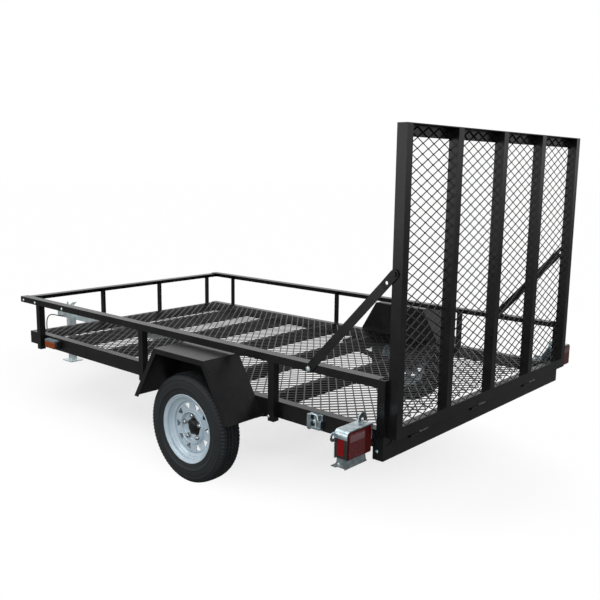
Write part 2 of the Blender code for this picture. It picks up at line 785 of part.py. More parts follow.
def rim_shapes(centre):
    """The rim's barrel, its disc with a raised crest round the stud cups, and the holes through them."""
    disc_line = (
        (RIM_WELL_RADIUS - RIM_GAUGE / 2, DISC_FACE - RIM_GAUGE),
        (HOLE_CIRCLE_RADIUS + HOLE_SIZE, DISC_FACE + RIM_GAUGE),
        (CREST_RADIUS + CREST_SLOPE, DISC_FACE),
        (CREST_RADIUS, DISC_FACE + CREST_RISE),
        (CREST_RADIUS - CREST_TOP, DISC_FACE + CREST_RISE),
        (CREST_RADIUS - CREST_TOP - CREST_SLOPE, DISC_FACE - RIM_GAUGE),
        (HUB_CAP_RADIUS, DISC_FACE - RIM_GAUGE),
    )
    disc_back = [(radius, offset - RIM_GAUGE) for radius, offset in reversed(disc_line)]
    shapes = [
        turned(rim_profile(), centre, WHEEL_STEPS),
        turned(list(disc_line) + disc_back, centre, WHEEL_STEPS),
    ]
    face = DISC_FACE - RIM_GAUGE
    behind = Vector(centre) + Vector((0, face - OVERRUN, 0))
    before = Vector(centre) + Vector((0, face + OVERRUN, 0))
    cuts = [rod(behind, before, DISC_CENTRE_RADIUS, WHEEL_STEPS)]
    for place in stud_places(centre):
        foot = place + Vector((0, face - WELD, 0))
        top = place + Vector((0, face + CUP_RISE, 0))
        shapes.append(cone(foot, top, CUP_FOOT_RADIUS, CUP_TOP_RADIUS, SMALL_STEPS))
        behind = place + Vector((0, face - OVERRUN, 0))
        before = place + Vector((0, face + OVERRUN, 0))
        cuts.append(rod(behind, before, STUD_RADIUS + STUD_CLEAR))
    for number in range(HOLE_COUNT):
        turn = math.radians(STUD_TURN_DEGREES) + math.tau * (number + 0.5) / HOLE_COUNT
        outline = []
        for reach, spread in HOLE_CORNER_SHARES:
            radius = HOLE_CIRCLE_RADIUS + reach * HOLE_SIZE
            a = turn + spread * HOLE_SIZE / HOLE_CIRCLE_RADIUS
            outline.append((radius * math.cos(a), 0, radius * math.sin(a)))
        start = Vector(centre) + Vector((0, DISC_FACE - OVERRUN, 0))
        cuts.append(prism(outline, start, (0, 2 * OVERRUN, 0)))
    return shapes, cuts


def hub_shapes(centre):
    """The hub with its flange and dust cap, and the studs with their nuts."""
    seat = DISC_FACE - 2 * RIM_GAUGE - TOUCH
    nose = DISC_CENTRE_RADIUS - 2 * TOUCH
    bore = SPINDLE_RADIUS + SPINDLE_CLEAR
    end = DISC_FACE - SPINDLE_END_CLEAR / 2
    hub = turned_cap(
        (
            (0, end),
            (bore, end),
            (bore, seat - HUB_BACK_LENGTH),
            (nose, seat - HUB_BACK_LENGTH),
            (nose, seat - HUB_FLANGE),
            (HUB_RADIUS, seat - HUB_FLANGE),
            (HUB_RADIUS, seat),
            (nose, seat),
            (HUB_CAP_RADIUS, seat + HUB_CAP_LENGTH * HUB_CAP_SHOULDER_SHARE),
            (HUB_CAP_RADIUS * HUB_CAP_SHOULDER_SHARE, seat + HUB_CAP_LENGTH),
            (0, seat + HUB_CAP_LENGTH),
        ),
        centre,
        WHEEL_STEPS // 2,
    )
    shapes = [hub]
    cup_top = DISC_FACE - RIM_GAUGE + CUP_RISE
    for place in stud_places(centre):
        root = place + Vector((0, seat - WELD, 0))
        nut = place + Vector((0, cup_top + TOUCH, 0))
        tip = nut + Vector((0, NUT_LENGTH, 0))
        shapes.append(rod(root, nut + Vector((0, WELD, 0)), STUD_RADIUS))
        shapes.append(rod(nut, tip, NUT_RADIUS, BOLT_STEPS))
    return shapes


def wheels():
    """Tyres, spoke rims and hubs, turning on the axle's spindles."""
    centre = (WHEEL_STATION, WHEEL_PLANE, TYRE_RADIUS)
    tyre = turned(tyre_profile(), centre, WHEEL_STEPS)
    rim, rim_cuts = rim_shapes(centre)
    hub = hub_shapes(centre)
    for side, name in ((1, "left"), (-1, "right")):
        pivot = (WHEEL_STATION, side * WHEEL_PLANE, TYRE_RADIUS)
        rows = (
            ("tyre", [tyre], TYRE_RUBBER, []),
            ("rim", rim, RIM_PAINT, rim_cuts),
            ("hub", hub, PAINT, []),
        )
        for word, shapes, finish, cuts in rows:
            shapes = [on_side(shape, side) for shape in shapes]
            cuts = [on_side(cut, side) for cut in cuts]
            piece(f"{word}_{name}", shapes, finish, cuts, pivot=pivot, smooth=True)


def axle():
    """The square axle beam with a round spindle at each end."""
    end = WHEEL_PLANE + DISC_FACE - 2 * RIM_GAUGE - HUB_BACK_LENGTH - AXLE_END_GAP
    half = AXLE_BEAM / 2
    beam = box(
        (WHEEL_STATION - half, -end, TYRE_RADIUS - half),
        (WHEEL_STATION + half, end, TYRE_RADIUS + half),
    )
    tip = WHEEL_PLANE + DISC_FACE - 3 * SPINDLE_END_CLEAR / 2
    spindle = rod(
        (WHEEL_STATION, -tip, TYRE_RADIUS),
        (WHEEL_STATION, tip, TYRE_RADIUS),
        SPINDLE_RADIUS,
        ROUND_STEPS,
    )
    piece("axle", [beam, spindle], PAINT)


def leaf(half_span, ends, seat, thickness):
    """A leaf's side outline: a parabola from the seat height up to the ends, one leaf thick."""
    under = []
    over = []
    for k in range(SPRING_STEPS + 1):
        share = 2 * k / SPRING_STEPS - 1
        height = seat + (ends - seat) * share * share
        under.append((WHEEL_STATION + share * half_span, height))
        over.append((WHEEL_STATION + share * half_span, height + thickness))
    return under + over[::-1]


def spring_clamp(seat, stack_top):
    """Two U-bolts round the leaf pack and the beam, and the plate under the beam."""
    shapes = []
    plate_top = TYRE_RADIUS - AXLE_BEAM / 2 - TOUCH
    reach_x = AXLE_BEAM / 2 + TOUCH + UBOLT_RADIUS
    reach_y = SPRING_WIDTH / 2 + UBOLT_RADIUS - WELD
    for end in (-1, 1):
        station = WHEEL_STATION + end * reach_x
        for edge in (-1, 1):
            place = SPRING_PLACE + edge * reach_y
            foot = (station, place, plate_top - SPRING_PLATE - UBOLT_RADIUS)
            shapes.append(rod(foot, (station, place, stack_top + UBOLT_RADIUS), UBOLT_RADIUS, BOLT_STEPS))
        shapes.append(
            rod(
                (station, SPRING_PLACE - reach_y, stack_top + UBOLT_RADIUS - WELD),
                (station, SPRING_PLACE + reach_y, stack_top + UBOLT_RADIUS - WELD),
                UBOLT_RADIUS,
                BOLT_STEPS,
            )
        )
    edge_x = reach_x + 2 * UBOLT_RADIUS
    edge_y = reach_y + 2 * UBOLT_RADIUS
    shapes.append(
        box(
            (WHEEL_STATION - edge_x, SPRING_PLACE - edge_y, plate_top - SPRING_PLATE),
            (WHEEL_STATION + edge_x, SPRING_PLACE + edge_y, plate_top),
        )
    )
    return shapes


def springs():
    """Leaf packs clamped on the axle, hung from a hanger at each end."""
    seat = TYRE_RADIUS + AXLE_BEAM / 2 + TOUCH
    rail_under = BED_TOP - BED_DEPTH
    eye_height = rail_under - SPRING_EYE_BELOW_RAIL
    place = SPRING_PLACE - SPRING_WIDTH / 2
    shapes = []
    stack = seat
    for share in reversed(SPRING_LEAF_SHARES):
        rise = (eye_height - seat - 2 * SPRING_LEAF) * share * share
        outline = leaf(SPRING_HALF_SPAN * share, stack + rise, stack, SPRING_LEAF + WELD)
        shapes.append(sideways(outline, place, SPRING_WIDTH))
        stack += SPRING_LEAF
    shapes += spring_clamp(seat, stack)
    for end in (-1, 1):
        station = WHEEL_STATION + end * SPRING_HALF_SPAN
        shapes.append(
            rod(
                (station, place - HANGER_WALL, eye_height + SPRING_LEAF),
                (station, place + SPRING_WIDTH + HANGER_WALL, eye_height + SPRING_LEAF),
                SPRING_EYE_RADIUS,
                ROUND_STEPS,
            )
        )
        rear, front = station - HANGER_LENGTH / 2, station + HANGER_LENGTH / 2
        for wall in (place - HANGER_WALL, place + SPRING_WIDTH):
            shapes.append(
                sideways(
                    (
                        (station - SPRING_EYE_RADIUS, eye_height - SPRING_EYE_RADIUS),
                        (station + SPRING_EYE_RADIUS, eye_height - SPRING_EYE_RADIUS),
                        (front, rail_under - TOUCH - HANGER_WALL),
                        (front, rail_under - TOUCH),
                        (rear, rail_under - TOUCH),
                        (rear, rail_under - TOUCH - HANGER_WALL),
                    ),
                    wall,
                    HANGER_WALL,
                )
            )
        shapes.append(
            box(
                (rear, place, rail_under - TOUCH - HANGER_WALL),
                (front, BED_HALF_WIDTH, rail_under - TOUCH),
            )
        )
    for side, name in ((1, "left"), (-1, "right")):
        piece(f"spring_{name}", [on_side(shape, side) for shape in shapes], PAINT)


def tongue():
    """The tongue's box beam under the cross members."""
    half = TONGUE_WIDTH / 2
    low = TONGUE_TOP - TONGUE_DEPTH
    beam = box((TONGUE_REAR, -half, low), (TONGUE_FRONT, half, TONGUE_TOP))
    hollow = box(
        (TONGUE_REAR - OVERRUN, -half + TONGUE_WALL, low + TONGUE_WALL),
        (TONGUE_FRONT + OVERRUN, half - TONGUE_WALL, TONGUE_TOP - TONGUE_WALL),
    )
    piece("tongue", [beam], ZINC, [hollow])


def coupler_outline(half_width, nose_radius, rear):
    """A plan outline: straight sides from the rear, swelling to a round nose."""
    centre = COUPLER_FRONT - COUPLER_NOSE_RADIUS
    waist = centre - 2 * COUPLER_NOSE_RADIUS
    points = [(waist, half_width), (rear, half_width), (rear, -half_width), (waist, -half_width)]
    return points + arc((centre, 0), nose_radius, -90, 90, ROUND_STEPS)


def coupler():
    """A stamped coupler: an inverted tray over the tongue's end, with a latch lever on top."""
    low = TONGUE_TOP - TONGUE_DEPTH
    roof = TONGUE_TOP + TOUCH + COUPLER_WALL
    outer = coupler_outline(COUPLER_HALF_WIDTH, COUPLER_NOSE_RADIUS, COUPLER_REAR)
    inner = coupler_outline(
        COUPLER_HALF_WIDTH - COUPLER_WALL,
        COUPLER_NOSE_RADIUS - COUPLER_WALL,
        COUPLER_REAR - OVERRUN,
    )
    body = prism([(x, y, low) for x, y in outer], (0, 0, 0), (0, 0, roof - low))
    hollow = prism(
        [(x, y, low - OVERRUN) for x, y in inner], (0, 0, 0), (0, 0, TONGUE_TOP + TOUCH - low + OVERRUN)
    )
    piece("coupler", [body], ZINC, [hollow])
    start = COUPLER_FRONT - 2 * COUPLER_NOSE_RADIUS
    foot = roof + TOUCH
    under_knee, over_knee = LATCH_KNEE_SHARES
    lever = (
        (start + 2 * LATCH_GAUGE, foot),
        (start, foot),
        (start - LATCH_GAUGE, foot + LATCH_GAUGE),
        (start - LATCH_LENGTH * under_knee, foot + LATCH_GAUGE),
        (start - LATCH_LENGTH, foot + LATCH_RISE),
        (start - LATCH_LENGTH + LATCH_GAUGE, foot + LATCH_RISE + LATCH_GAUGE),
        (start - LATCH_LENGTH * over_knee, foot + 3 * LATCH_GAUGE),
        (start + LATCH_GAUGE, foot + 3 * LATCH_GAUGE),
    )
    rear = start - LATCH_LENGTH * over_knee
    guard = (
        (rear, foot + 2 * LATCH_GAUGE),
        (rear + LATCH_GUARD_LENGTH, foot + 2 * LATCH_GAUGE),
        (rear + LATCH_GUARD_LENGTH, foot + LATCH_GUARD_RISE - LATCH_GUARD_LENGTH / 2),
        (rear + LATCH_GUARD_LENGTH / 2, foot + LATCH_GUARD_RISE),
        (rear, foot + LATCH_GUARD_RISE - LATCH_GUARD_LENGTH / 2),
    )
    shapes = [
        sideways(lever, -LATCH_WIDTH / 2, LATCH_WIDTH),
        sideways(guard, -LATCH_GAUGE / 2, LATCH_GAUGE),
    ]
    piece("coupler_latch", shapes, ZINC)


def stand():
    """The drop-leg stand: a square sleeve on the tongue's left and a leg with a foot plate."""
    top = BED_TOP - BED_DEPTH + STAND_SLEEVE_RISE
    low = top - STAND_SLEEVE_LENGTH
    near = TONGUE_WIDTH / 2 + TOUCH
    half = STAND_SLEEVE / 2
    bore = half - STAND_SLEEVE_WALL
    middle = near + half
    sleeve = box((STAND_STATION - half, near, low), (STAND_STATION + half, near + STAND_SLEEVE, top))
    hole = box(
        (STAND_STATION - bore, middle - bore, low - OVERRUN),
        (STAND_STATION + bore, middle + bore, top + OVERRUN),
    )
    piece("stand_sleeve", [sleeve], ZINC, [hole])
    leg_half = bore - STAND_CLEAR
    leg = box(
        (STAND_STATION - leg_half, middle - leg_half, STAND_FOOT_THICK - WELD),
        (STAND_STATION + leg_half, middle + leg_half, top - STAND_LEG_BELOW_TOP),
    )
    foot = box(
        (STAND_STATION - STAND_FOOT_LENGTH / 2, middle - STAND_FOOT_WIDTH / 2, 0),
        (STAND_STATION + STAND_FOOT_LENGTH / 2, middle + STAND_FOOT_WIDTH / 2, STAND_FOOT_THICK),
    )
    piece("stand_leg", [leg, foot], ZINC, pivot=(STAND_STATION, middle, 0))


def foot_rings(shares, inset):
    """Rectangles down the bracket's foot, each a (share of drop, share of flare) row."""
    front_plate = LAMP_REAR + LAMP_DEPTH + TOUCH
    neck = (front_plate, front_plate + NECK_RUN, BED_HALF_WIDTH + NECK_INSET, LAMP_OUTER - NECK_INSET)
    outer = LAMP_OUTER - FOOT_INSET
    inner = BED_HALF_WIDTH + FOOT_GAP
    foot = (FOOT_REAR, FOOT_REAR + FOOT_RUN, inner, outer)
    rings = []
    for drop, flare in shares:
        height = LAMP_LOW + WELD - drop * FOOT_DROP
        rear, front, low, high = (a + (b - a) * flare for a, b in zip(neck, foot))
        corners = ((rear, low), (front, low), (front, high), (rear, high))
        signs = ((1, 1), (-1, 1), (-1, -1), (1, -1))
        moved = zip(corners, signs)
        rings.append([(x + sx * inset, y + sy * inset, height) for (x, y), (sx, sy) in moved])
    return rings


def lamp_outline(grown):
    """The lamp's rear outline, (y, z), with its top outer corner rounded, grown all round."""
    radius = HOOD_ROUND - BRACKET_GAUGE - TOUCH
    corner = (LAMP_OUTER - radius, LAMP_HIGH - radius)
    points = [(LAMP_INNER - grown, LAMP_LOW - grown), (LAMP_OUTER + grown, LAMP_LOW - grown)]
    points += arc(corner, radius + grown, 0, 90, BOLT_STEPS)
    points.append((LAMP_INNER - grown, LAMP_HIGH + grown))
    return points


def hood_band():
    """The hood's section, (y, z): an outer flap, a round shoulder, the roof and an inner flap."""
    outside = lamp_outline(TOUCH + BRACKET_GAUGE)[2:]
    inside = lamp_outline(TOUCH)[2:]
    low_outer = LAMP_HIGH - HOOD_OUTER_FLAP
    low_inner = LAMP_HIGH - HOOD_INNER_FLAP
    band = [(outside[0][0], low_outer)] + outside + [(outside[-1][0], low_inner)]
    band += [(inside[-1][0], low_inner)] + inside[::-1] + [(inside[0][0], low_outer)]
    return band


def lamp_brackets():
    """Pressed brackets: a hood over the tail lamp, a back plate with ears and a flared foot."""
    plate_rear = LAMP_REAR + LAMP_DEPTH + TOUCH
    plate_front = plate_rear + BRACKET_GAUGE
    hood_rear = LAMP_REAR + HOOD_BACK
    rail_face = BED_HALF_WIDTH + TOUCH
    inset = BRACKET_GAUGE / 2
    plate = [(rail_face, LAMP_LOW), (LAMP_OUTER + inset, LAMP_LOW)]
    plate += lamp_outline(TOUCH + inset)[2:-1]
    plate += [(LAMP_INNER, LAMP_HIGH + inset), (rail_face, LAMP_LOW + FLANGE_HEIGHT)]
    ear_base = LAMP_HIGH + TOUCH + inset
    ear = [(EAR_PLACE - EAR_HALF_WIDTH, ear_base), (EAR_PLACE + EAR_HALF_WIDTH, ear_base)]
    ear_middle = ear_base + EAR_HEIGHT - EAR_HALF_WIDTH
    ear += arc((EAR_PLACE, ear_middle), EAR_HALF_WIDTH, 0, 180, SMALL_STEPS)
    side_height = LAMP_HIGH - SIDE_EAR_BELOW_TOP
    side_middle = LAMP_OUTER + SIDE_EAR_REACH - SIDE_EAR_HALF_HEIGHT
    side_ear = [(LAMP_OUTER, side_height - SIDE_EAR_HALF_HEIGHT)]
    side_ear += arc((side_middle, side_height), SIDE_EAR_HALF_HEIGHT, -90, 90, SMALL_STEPS)
    side_ear.append((LAMP_OUTER, side_height + SIDE_EAR_HALF_HEIGHT))
    flange = box(
        (plate_rear, rail_face, LAMP_LOW),
        (plate_front + FLANGE_RUN, rail_face + BRACKET_GAUGE, LAMP_LOW + FLANGE_HEIGHT),
    )
    shapes = [
        across(plate, plate_rear, BRACKET_GAUGE),
        across(hood_band(), hood_rear, plate_front - WELD - hood_rear),
        across(ear, EAR_STATION, BRACKET_GAUGE),
        across(side_ear, plate_rear + WELD / 2, BRACKET_GAUGE - WELD),
        flange,
        loft(foot_rings(FOOT_SECTION_SHARES, 0)),
    ]
    cuts = [
        loft(foot_rings(FOOT_HOLLOW_SHARES, BRACKET_GAUGE)),
        rod(
            (EAR_STATION - OVERRUN, EAR_PLACE, ear_middle),
            (EAR_STATION + OVERRUN, EAR_PLACE, ear_middle),
            EAR_HOLE_RADIUS,
        ),
        rod(
            (plate_rear - OVERRUN, side_middle, side_height),
            (plate_rear + OVERRUN, side_middle, side_height),
            SIDE_EAR_HOLE_RADIUS,
        ),
    ]
    lens = lamp_outline(0)
    housing = lamp_outline(-LAMP_LENS_LIP)
    lamp = [
        across(lens, LAMP_REAR, LAMP_LENS_DEPTH),
        across(housing, LAMP_REAR + LAMP_LENS_DEPTH - WELD, LAMP_DEPTH - LAMP_LENS_DEPTH + WELD),
    ]
    for side, name in ((1, "left"), (-1, "right")):
        mirrored = [on_side(cut, side) for cut in cuts]
        piece(f"lamp_bracket_{name}", [on_side(shape, side) for shape in shapes], ZINC, mirrored)
        piece(f"tail_lamp_{name}", [on_side(shape, side) for shape in lamp], LENS_RED)


def markers():
    """Amber side markers near the front of both side rails, tapered to their outer face."""
    face = BED_HALF_WIDTH + TOUCH
    top = BED_TOP - MARKER_BELOW_TOP
    front = BED_FRONT - MARKER_BACK
    rings = []
    for place, inset in ((face, 0), (face + MARKER_DEPTH / 2, 0), (face + MARKER_DEPTH, MARKER_TAPER)):
        low_x, high_x = front - MARKER_LENGTH + inset, front - inset
        low_z, high_z = top - MARKER_HEIGHT + inset, top - inset
        rings.append(
            [(low_x, place, low_z), (high_x, place, low_z), (high_x, place, high_z), (low_x, place, high_z)]
        )
    for side, name in ((1, "left"), (-1, "right")):
        piece(f"marker_lamp_{name}", [on_side(loft(rings), side)], LENS_AMBER)


def latch_plate():
    """The zinc keeper on the left side rail: a shallow channel open at its rear end."""
    face = BED_HALF_WIDTH + TOUCH
    front = LATCH_PLATE_REAR + LATCH_PLATE_LENGTH
    low = BED_TOP - BED_DEPTH
    block = box((LATCH_PLATE_REAR, face, low), (front, face + LATCH_PLATE_DEPTH, BED_TOP))
    hollow = box(
        (LATCH_PLATE_REAR - OVERRUN, face + LATCH_PLATE_WALL, low + LATCH_PLATE_WALL),
        (front - LATCH_PLATE_WALL, face + LATCH_PLATE_DEPTH - LATCH_PLATE_WALL, BED_TOP - LATCH_PLATE_WALL),
    )
    piece("latch_plate", [block], ZINC, [hollow])


def gate_corners():
    """The left edge of each upright, from the left end to the right end."""
    spacing = (2 * GATE_HALF_WIDTH - GATE_FLANGE) / GATE_BAYS
    corners = [GATE_HALF_WIDTH]
    for number in range(1, GATE_BAYS):
        corners.append(GATE_HALF_WIDTH - number * spacing + GATE_UPRIGHT_SHIFT)
    corners.append(GATE_FLANGE - GATE_HALF_WIDTH)
    return corners


def gate():
    """The ramp gate: five uprights, top and bottom angles, hinge sleeves and four mesh panels.

    The bottom angle stands at the rear, the top one at the front, so that the mesh runs up behind it.
    """
    pivot = (HINGE_STATION, 0, HINGE_HEIGHT)
    top = GATE_BOTTOM + GATE_HEIGHT
    shapes = []
    for station, height, way in ((GATE_REAR, GATE_BOTTOM, 1), (GATE_FRONT, top, -1)):
        shapes.append(
            angle_bar(
                (station, -GATE_HALF_WIDTH, height),
                (0, 2 * GATE_HALF_WIDTH, 0),
                (way * GATE_WEB, 0, 0),
                (0, 0, way * GATE_EDGE_FLANGE),
                GATE_WALL,
            )
        )
    corners = gate_corners()
    for corner in corners:
        shapes.append(
            angle_bar(
                (GATE_REAR, corner, GATE_BOTTOM + GATE_WALL - WELD),
                (0, 0, GATE_HEIGHT - 2 * GATE_WALL + 2 * WELD),
                (GATE_WEB, 0, 0),
                (0, -GATE_FLANGE, 0),
                GATE_WALL,
            )
        )
    boss = Vector((STAY_PIN_STATION, -GATE_HALF_WIDTH, GATE_BOTTOM + STAY_PIN_RISE))
    reach = Vector((0, GATE_FLANGE - GATE_WALL + WELD, 0))
    shapes.append(rod(boss, boss + reach, STAY_BOSS_RADIUS))
    cuts = []
    half = HINGE_SLEEVE_LENGTH / 2
    neck = HINGE_SLEEVE_RADIUS / 2
    for share in HINGE_PLACE_SHARES:
        place = share * GATE_HALF_WIDTH
        low, high = (HINGE_STATION, place - half, HINGE_HEIGHT), (HINGE_STATION, place + half, HINGE_HEIGHT)
        shapes.append(rod(low, high, HINGE_SLEEVE_RADIUS))
        shapes.append(
            box(
                (HINGE_STATION - neck, place - half, HINGE_HEIGHT),
                (HINGE_STATION + neck, place + half, GATE_BOTTOM + WELD),
            )
        )
        past = Vector((0, WELD, 0))
        cuts.append(rod(Vector(low) - past, Vector(high) + past, HINGE_PIN_RADIUS + HINGE_BORE_CLEAR))
    piece("gate_frame", shapes, PAINT, cuts, pivot=pivot)
    depth = GATE_FRONT - GATE_WALL - TOUCH - MESH_THICK
    low = GATE_BOTTOM + GATE_WALL + TOUCH
    for number, (corner, end) in enumerate(zip(corners, corners[1:])):
        left = corner - GATE_WALL - TOUCH
        panel = expanded_metal(
            (depth, left, low),
            ((0, -1, 0), (0, 0, 1), (1, 0, 0)),
            (left - end - TOUCH, GATE_HEIGHT - 2 * GATE_WALL - 2 * TOUCH),
        )
        piece(f"gate_mesh_{number + 1}", [panel], PAINT, pivot=pivot)


def bent_strap(low, high, low_place, high_place):
    """A strap between two pins, half round at both ends, its ends flat and its middle aslant."""
    run = (high - low).normalized()
    side = Vector((-run.z, 0, run.x))
    length = (high - low).length
    half = STAY_WIDTH / 2
    low_end = [(x, -y, low_place) for x, y in arc((0, 0), half, -90, -270, SMALL_STEPS)]
    high_end = [(x, -y, high_place) for x, y in arc((length, 0), half, 90, -90, SMALL_STEPS)]
    creases = ((STAY_LOW_TAB, low_place), (length - STAY_HIGH_TAB, high_place))
    there = [(along, -half, place) for along, place in creases]
    back = [(along, half, place) for along, place in reversed(creases)]
    rows = low_end + there + high_end + back
    inner = [low + run * along + side * over + Vector((0, place, 0)) for along, over, place in rows]
    outer = [point + Vector((0, STAY_GAUGE, 0)) for point in inner]
    count = len(rows)
    bend = len(low_end)
    turn = bend + 1
    faces = []
    for start in (0, count):
        faces.append([start + k for k in range(turn)] + [start + count - 1])
        faces.append([start + k for k in (bend, turn, count - 2, count - 1)])
        faces.append([start + k for k in range(turn, count - 1)])
    for k in range(count):
        after = (k + 1) % count
        faces.append((k, after, count + after, count + k))
    return inner + outer, faces


def stays():
    """Flat straps from the top rails to the gate's sides, creased in towards the gate."""
    low = Vector((STAY_PIVOT_STATION, 0, RAIL_TOP - STAY_PIVOT_BELOW_RAIL))
    high = Vector((STAY_PIN_STATION, 0, GATE_BOTTOM + STAY_PIN_RISE))
    rail_place = RAIL_HALF_WIDTH + STAY_SIDE_CLEAR
    gate_place = GATE_HALF_WIDTH + STAY_PIN_GAP
    shapes = [bent_strap(low, high, rail_place, gate_place)]
    for centre, place in ((low, rail_place), (high, gate_place)):
        face = place + STAY_GAUGE
        start = centre + Vector((0, face - WELD, 0))
        end = centre + Vector((0, face + STAY_BOLT_HEAD, 0))
        shapes.append(rod(start, end, STAY_BOLT_RADIUS))
    hole_at = high + (low - high).normalized() * STAY_SPARE_HOLE
    through = Vector((0, STAY_GAUGE + OVERRUN, 0))
    middle = hole_at + Vector((0, gate_place, 0))
    hole = rod(middle - through, middle + through, STAY_HOLE_RADIUS)
    for side, name in ((1, "stay_left"), (-1, "stay_right")):
        pivot = (low.x, side * (rail_place + STAY_GAUGE / 2), low.z)
        piece(name, [on_side(shape, side) for shape in shapes], PAINT, [on_side(hole, side)], pivot=pivot)


def wiring():
    """The wiring lead out of the coupler's side, hanging free, with its flat connector."""
    curve = bpy.data.curves.new("wiring_lead", "CURVE")
    curve.dimensions = "3D"
    curve.bevel_depth = LEAD_DIAMETER / 2
    curve.bevel_resolution = 2
    curve.use_fill_caps = True
    line = curve.splines.new("POLY")
    line.points.add(len(LEAD_ROUTE) - 1)
    for point, place in zip(line.points, LEAD_ROUTE):
        point.co = (*place, 1)
    lead = bpy.data.objects.new("wiring_lead", curve)
    bpy.context.scene.collection.objects.link(lead)
    lead.parent = bpy.data.objects["trailer"]
    curve.materials.append(material(BLACK_PVC))
    x, y, z = LEAD_ROUTE[-1]
    plug = box(
        (x - LEAD_PLUG_DEPTH / 2, y - LEAD_PLUG_WIDTH / 2, z - TOUCH - LEAD_PLUG_LENGTH),
        (x + LEAD_PLUG_DEPTH / 2, y + LEAD_PLUG_WIDTH / 2, z - TOUCH),
    )
    piece("wiring_plug", [plug], BLACK_PVC)


def build():
    """Every node of the trailer, under one empty that carries the origin."""
    for old in list(bpy.data.objects):
        bpy.data.objects.remove(old)
    trailer = bpy.data.objects.new("trailer", None)
    trailer.location = (-ORIGIN_STATION, 0, 0)
    bpy.context.scene.collection.objects.link(trailer)
    bed_frame()
    rear_member()
    floor_mesh()
    railings()
    fenders()
    wheels()
    axle()
    springs()
    tongue()
    coupler()
    stand()
    lamp_brackets()
    markers()
    latch_plate()
    gate()
    stays()
    wiring()


build()
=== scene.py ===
"""Looks of the utility trailer: its finishes, fine expanded metal, tyres, wheels, lamps and bolts.

Every length is in metres, in the frame of the CAD model: +X forward, +Y left, +Z up, with the
ground at zero. A shape is a pair of an array of points and a list of faces, and every piece is
drawn where it stands. Paired pieces are drawn on the left and mirrored.
"""

import json
import math

import bmesh
import bpy
import numpy as np
from mathutils import Matrix, Vector


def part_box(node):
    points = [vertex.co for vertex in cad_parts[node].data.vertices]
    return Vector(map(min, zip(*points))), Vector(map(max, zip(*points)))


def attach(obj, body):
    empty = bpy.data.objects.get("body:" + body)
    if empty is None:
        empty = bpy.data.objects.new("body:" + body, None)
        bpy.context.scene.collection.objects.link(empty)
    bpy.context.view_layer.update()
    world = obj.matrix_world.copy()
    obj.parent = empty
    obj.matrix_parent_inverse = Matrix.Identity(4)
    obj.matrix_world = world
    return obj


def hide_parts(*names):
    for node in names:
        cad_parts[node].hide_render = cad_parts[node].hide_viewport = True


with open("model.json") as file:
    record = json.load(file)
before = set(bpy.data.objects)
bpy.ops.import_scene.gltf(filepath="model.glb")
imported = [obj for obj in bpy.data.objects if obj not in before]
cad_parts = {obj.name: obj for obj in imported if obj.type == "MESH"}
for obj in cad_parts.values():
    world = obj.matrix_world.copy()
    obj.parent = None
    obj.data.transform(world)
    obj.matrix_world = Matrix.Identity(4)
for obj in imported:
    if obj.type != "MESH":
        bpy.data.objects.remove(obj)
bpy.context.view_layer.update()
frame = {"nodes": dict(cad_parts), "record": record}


# Camera, solved from the photograph; angles in degrees
IMAGE_WIDTH = 600
FOCAL_PIXELS = 760.9
SENSOR_WIDTH = 36.0
CAMERA_PLACE = (-3.464, 3.174, 1.479)
CAMERA_YAW = -48.5
CAMERA_PITCH = -9.8
CAMERA_ROLL = 0.73
CAMERA_FAR = 200.0

# Wiring lead: the route's points by station, from the coupler's side to the connector
LEAD_DIAMETER = 0.008
LEAD_ROUNDNESS = 4
LEAD_ROUTE = np.array(
    (
        (3.5600, 0.0398, 0.3260),
        (3.5612, 0.0575, 0.3280),
        (3.5653, 0.0759, 0.3323),
        (3.5729, 0.0927, 0.3379),
        (3.5845, 0.1074, 0.3424),
        (3.5999, 0.1190, 0.3421),
        (3.6157, 0.1264, 0.3341),
        (3.6277, 0.1313, 0.3200),
        (3.6351, 0.1342, 0.3023),
        (3.6388, 0.1356, 0.2834),
        (3.6400, 0.1360, 0.2641),
        (3.6400, 0.1360, 0.2448),
        (3.6400, 0.1360, 0.2254),
        (3.6400, 0.1360, 0.2061),
        (3.6400, 0.1360, 0.1867),
        (3.6400, 0.1360, 0.1674),
        (3.6400, 0.1360, 0.1480),
    )
)
# World X is a station less this
STATION_ORIGIN = 1.791

# Expanded metal: its diamonds, long way across the trailer, its strands and their lean
FLOOR_LONG = 0.0590
FLOOR_SHORT = 0.0500
GATE_LONG = 0.0787
GATE_SHORT = 0.0408
FLOOR_STRAND = 0.0070
FLOOR_STRAND_THICK = 0.0026
FLOOR_LEAN = math.radians(10)
GATE_STRAND = 0.0043
GATE_STRAND_THICK = 0.0026
GATE_LEAN = math.radians(28)
MESH_BOND_SHARE = 0.07

# Tyre tread and sidewall
TREAD_PITCHES = 90
STEPS_PER_PITCH = 4
TREAD_ZIGZAG = 0.0030
NOTCH_DEPTH = 0.0045
GROOVE_DEPTH = 0.0085

# Rim: its triangular holes' half widths, from the inner point out, and its centre's lobes
RIM_STEPS = 96
RIM_GAUGE = 0.0035
HOLE_SECTORS = 10
HOLE_POINT = 0.0022
HOLE_SPREAD = 0.0168
HOLE_CORNER_SHARE = 0.88
STUD_COUNT = 5
STUD_TURN = math.radians(16)
STUD_CIRCLE = 0.05715
CUP_RADIUS = 0.0130
CUP_FLAT_RADIUS = 0.0105
CUP_RISE = 0.003
CENTRE_LOBE = 0.0032
LOBE_RADIUS = 0.052
LOBE_FADE = 0.009
SEAT_OFFSET = 0.0072
HUB_STEPS = 64

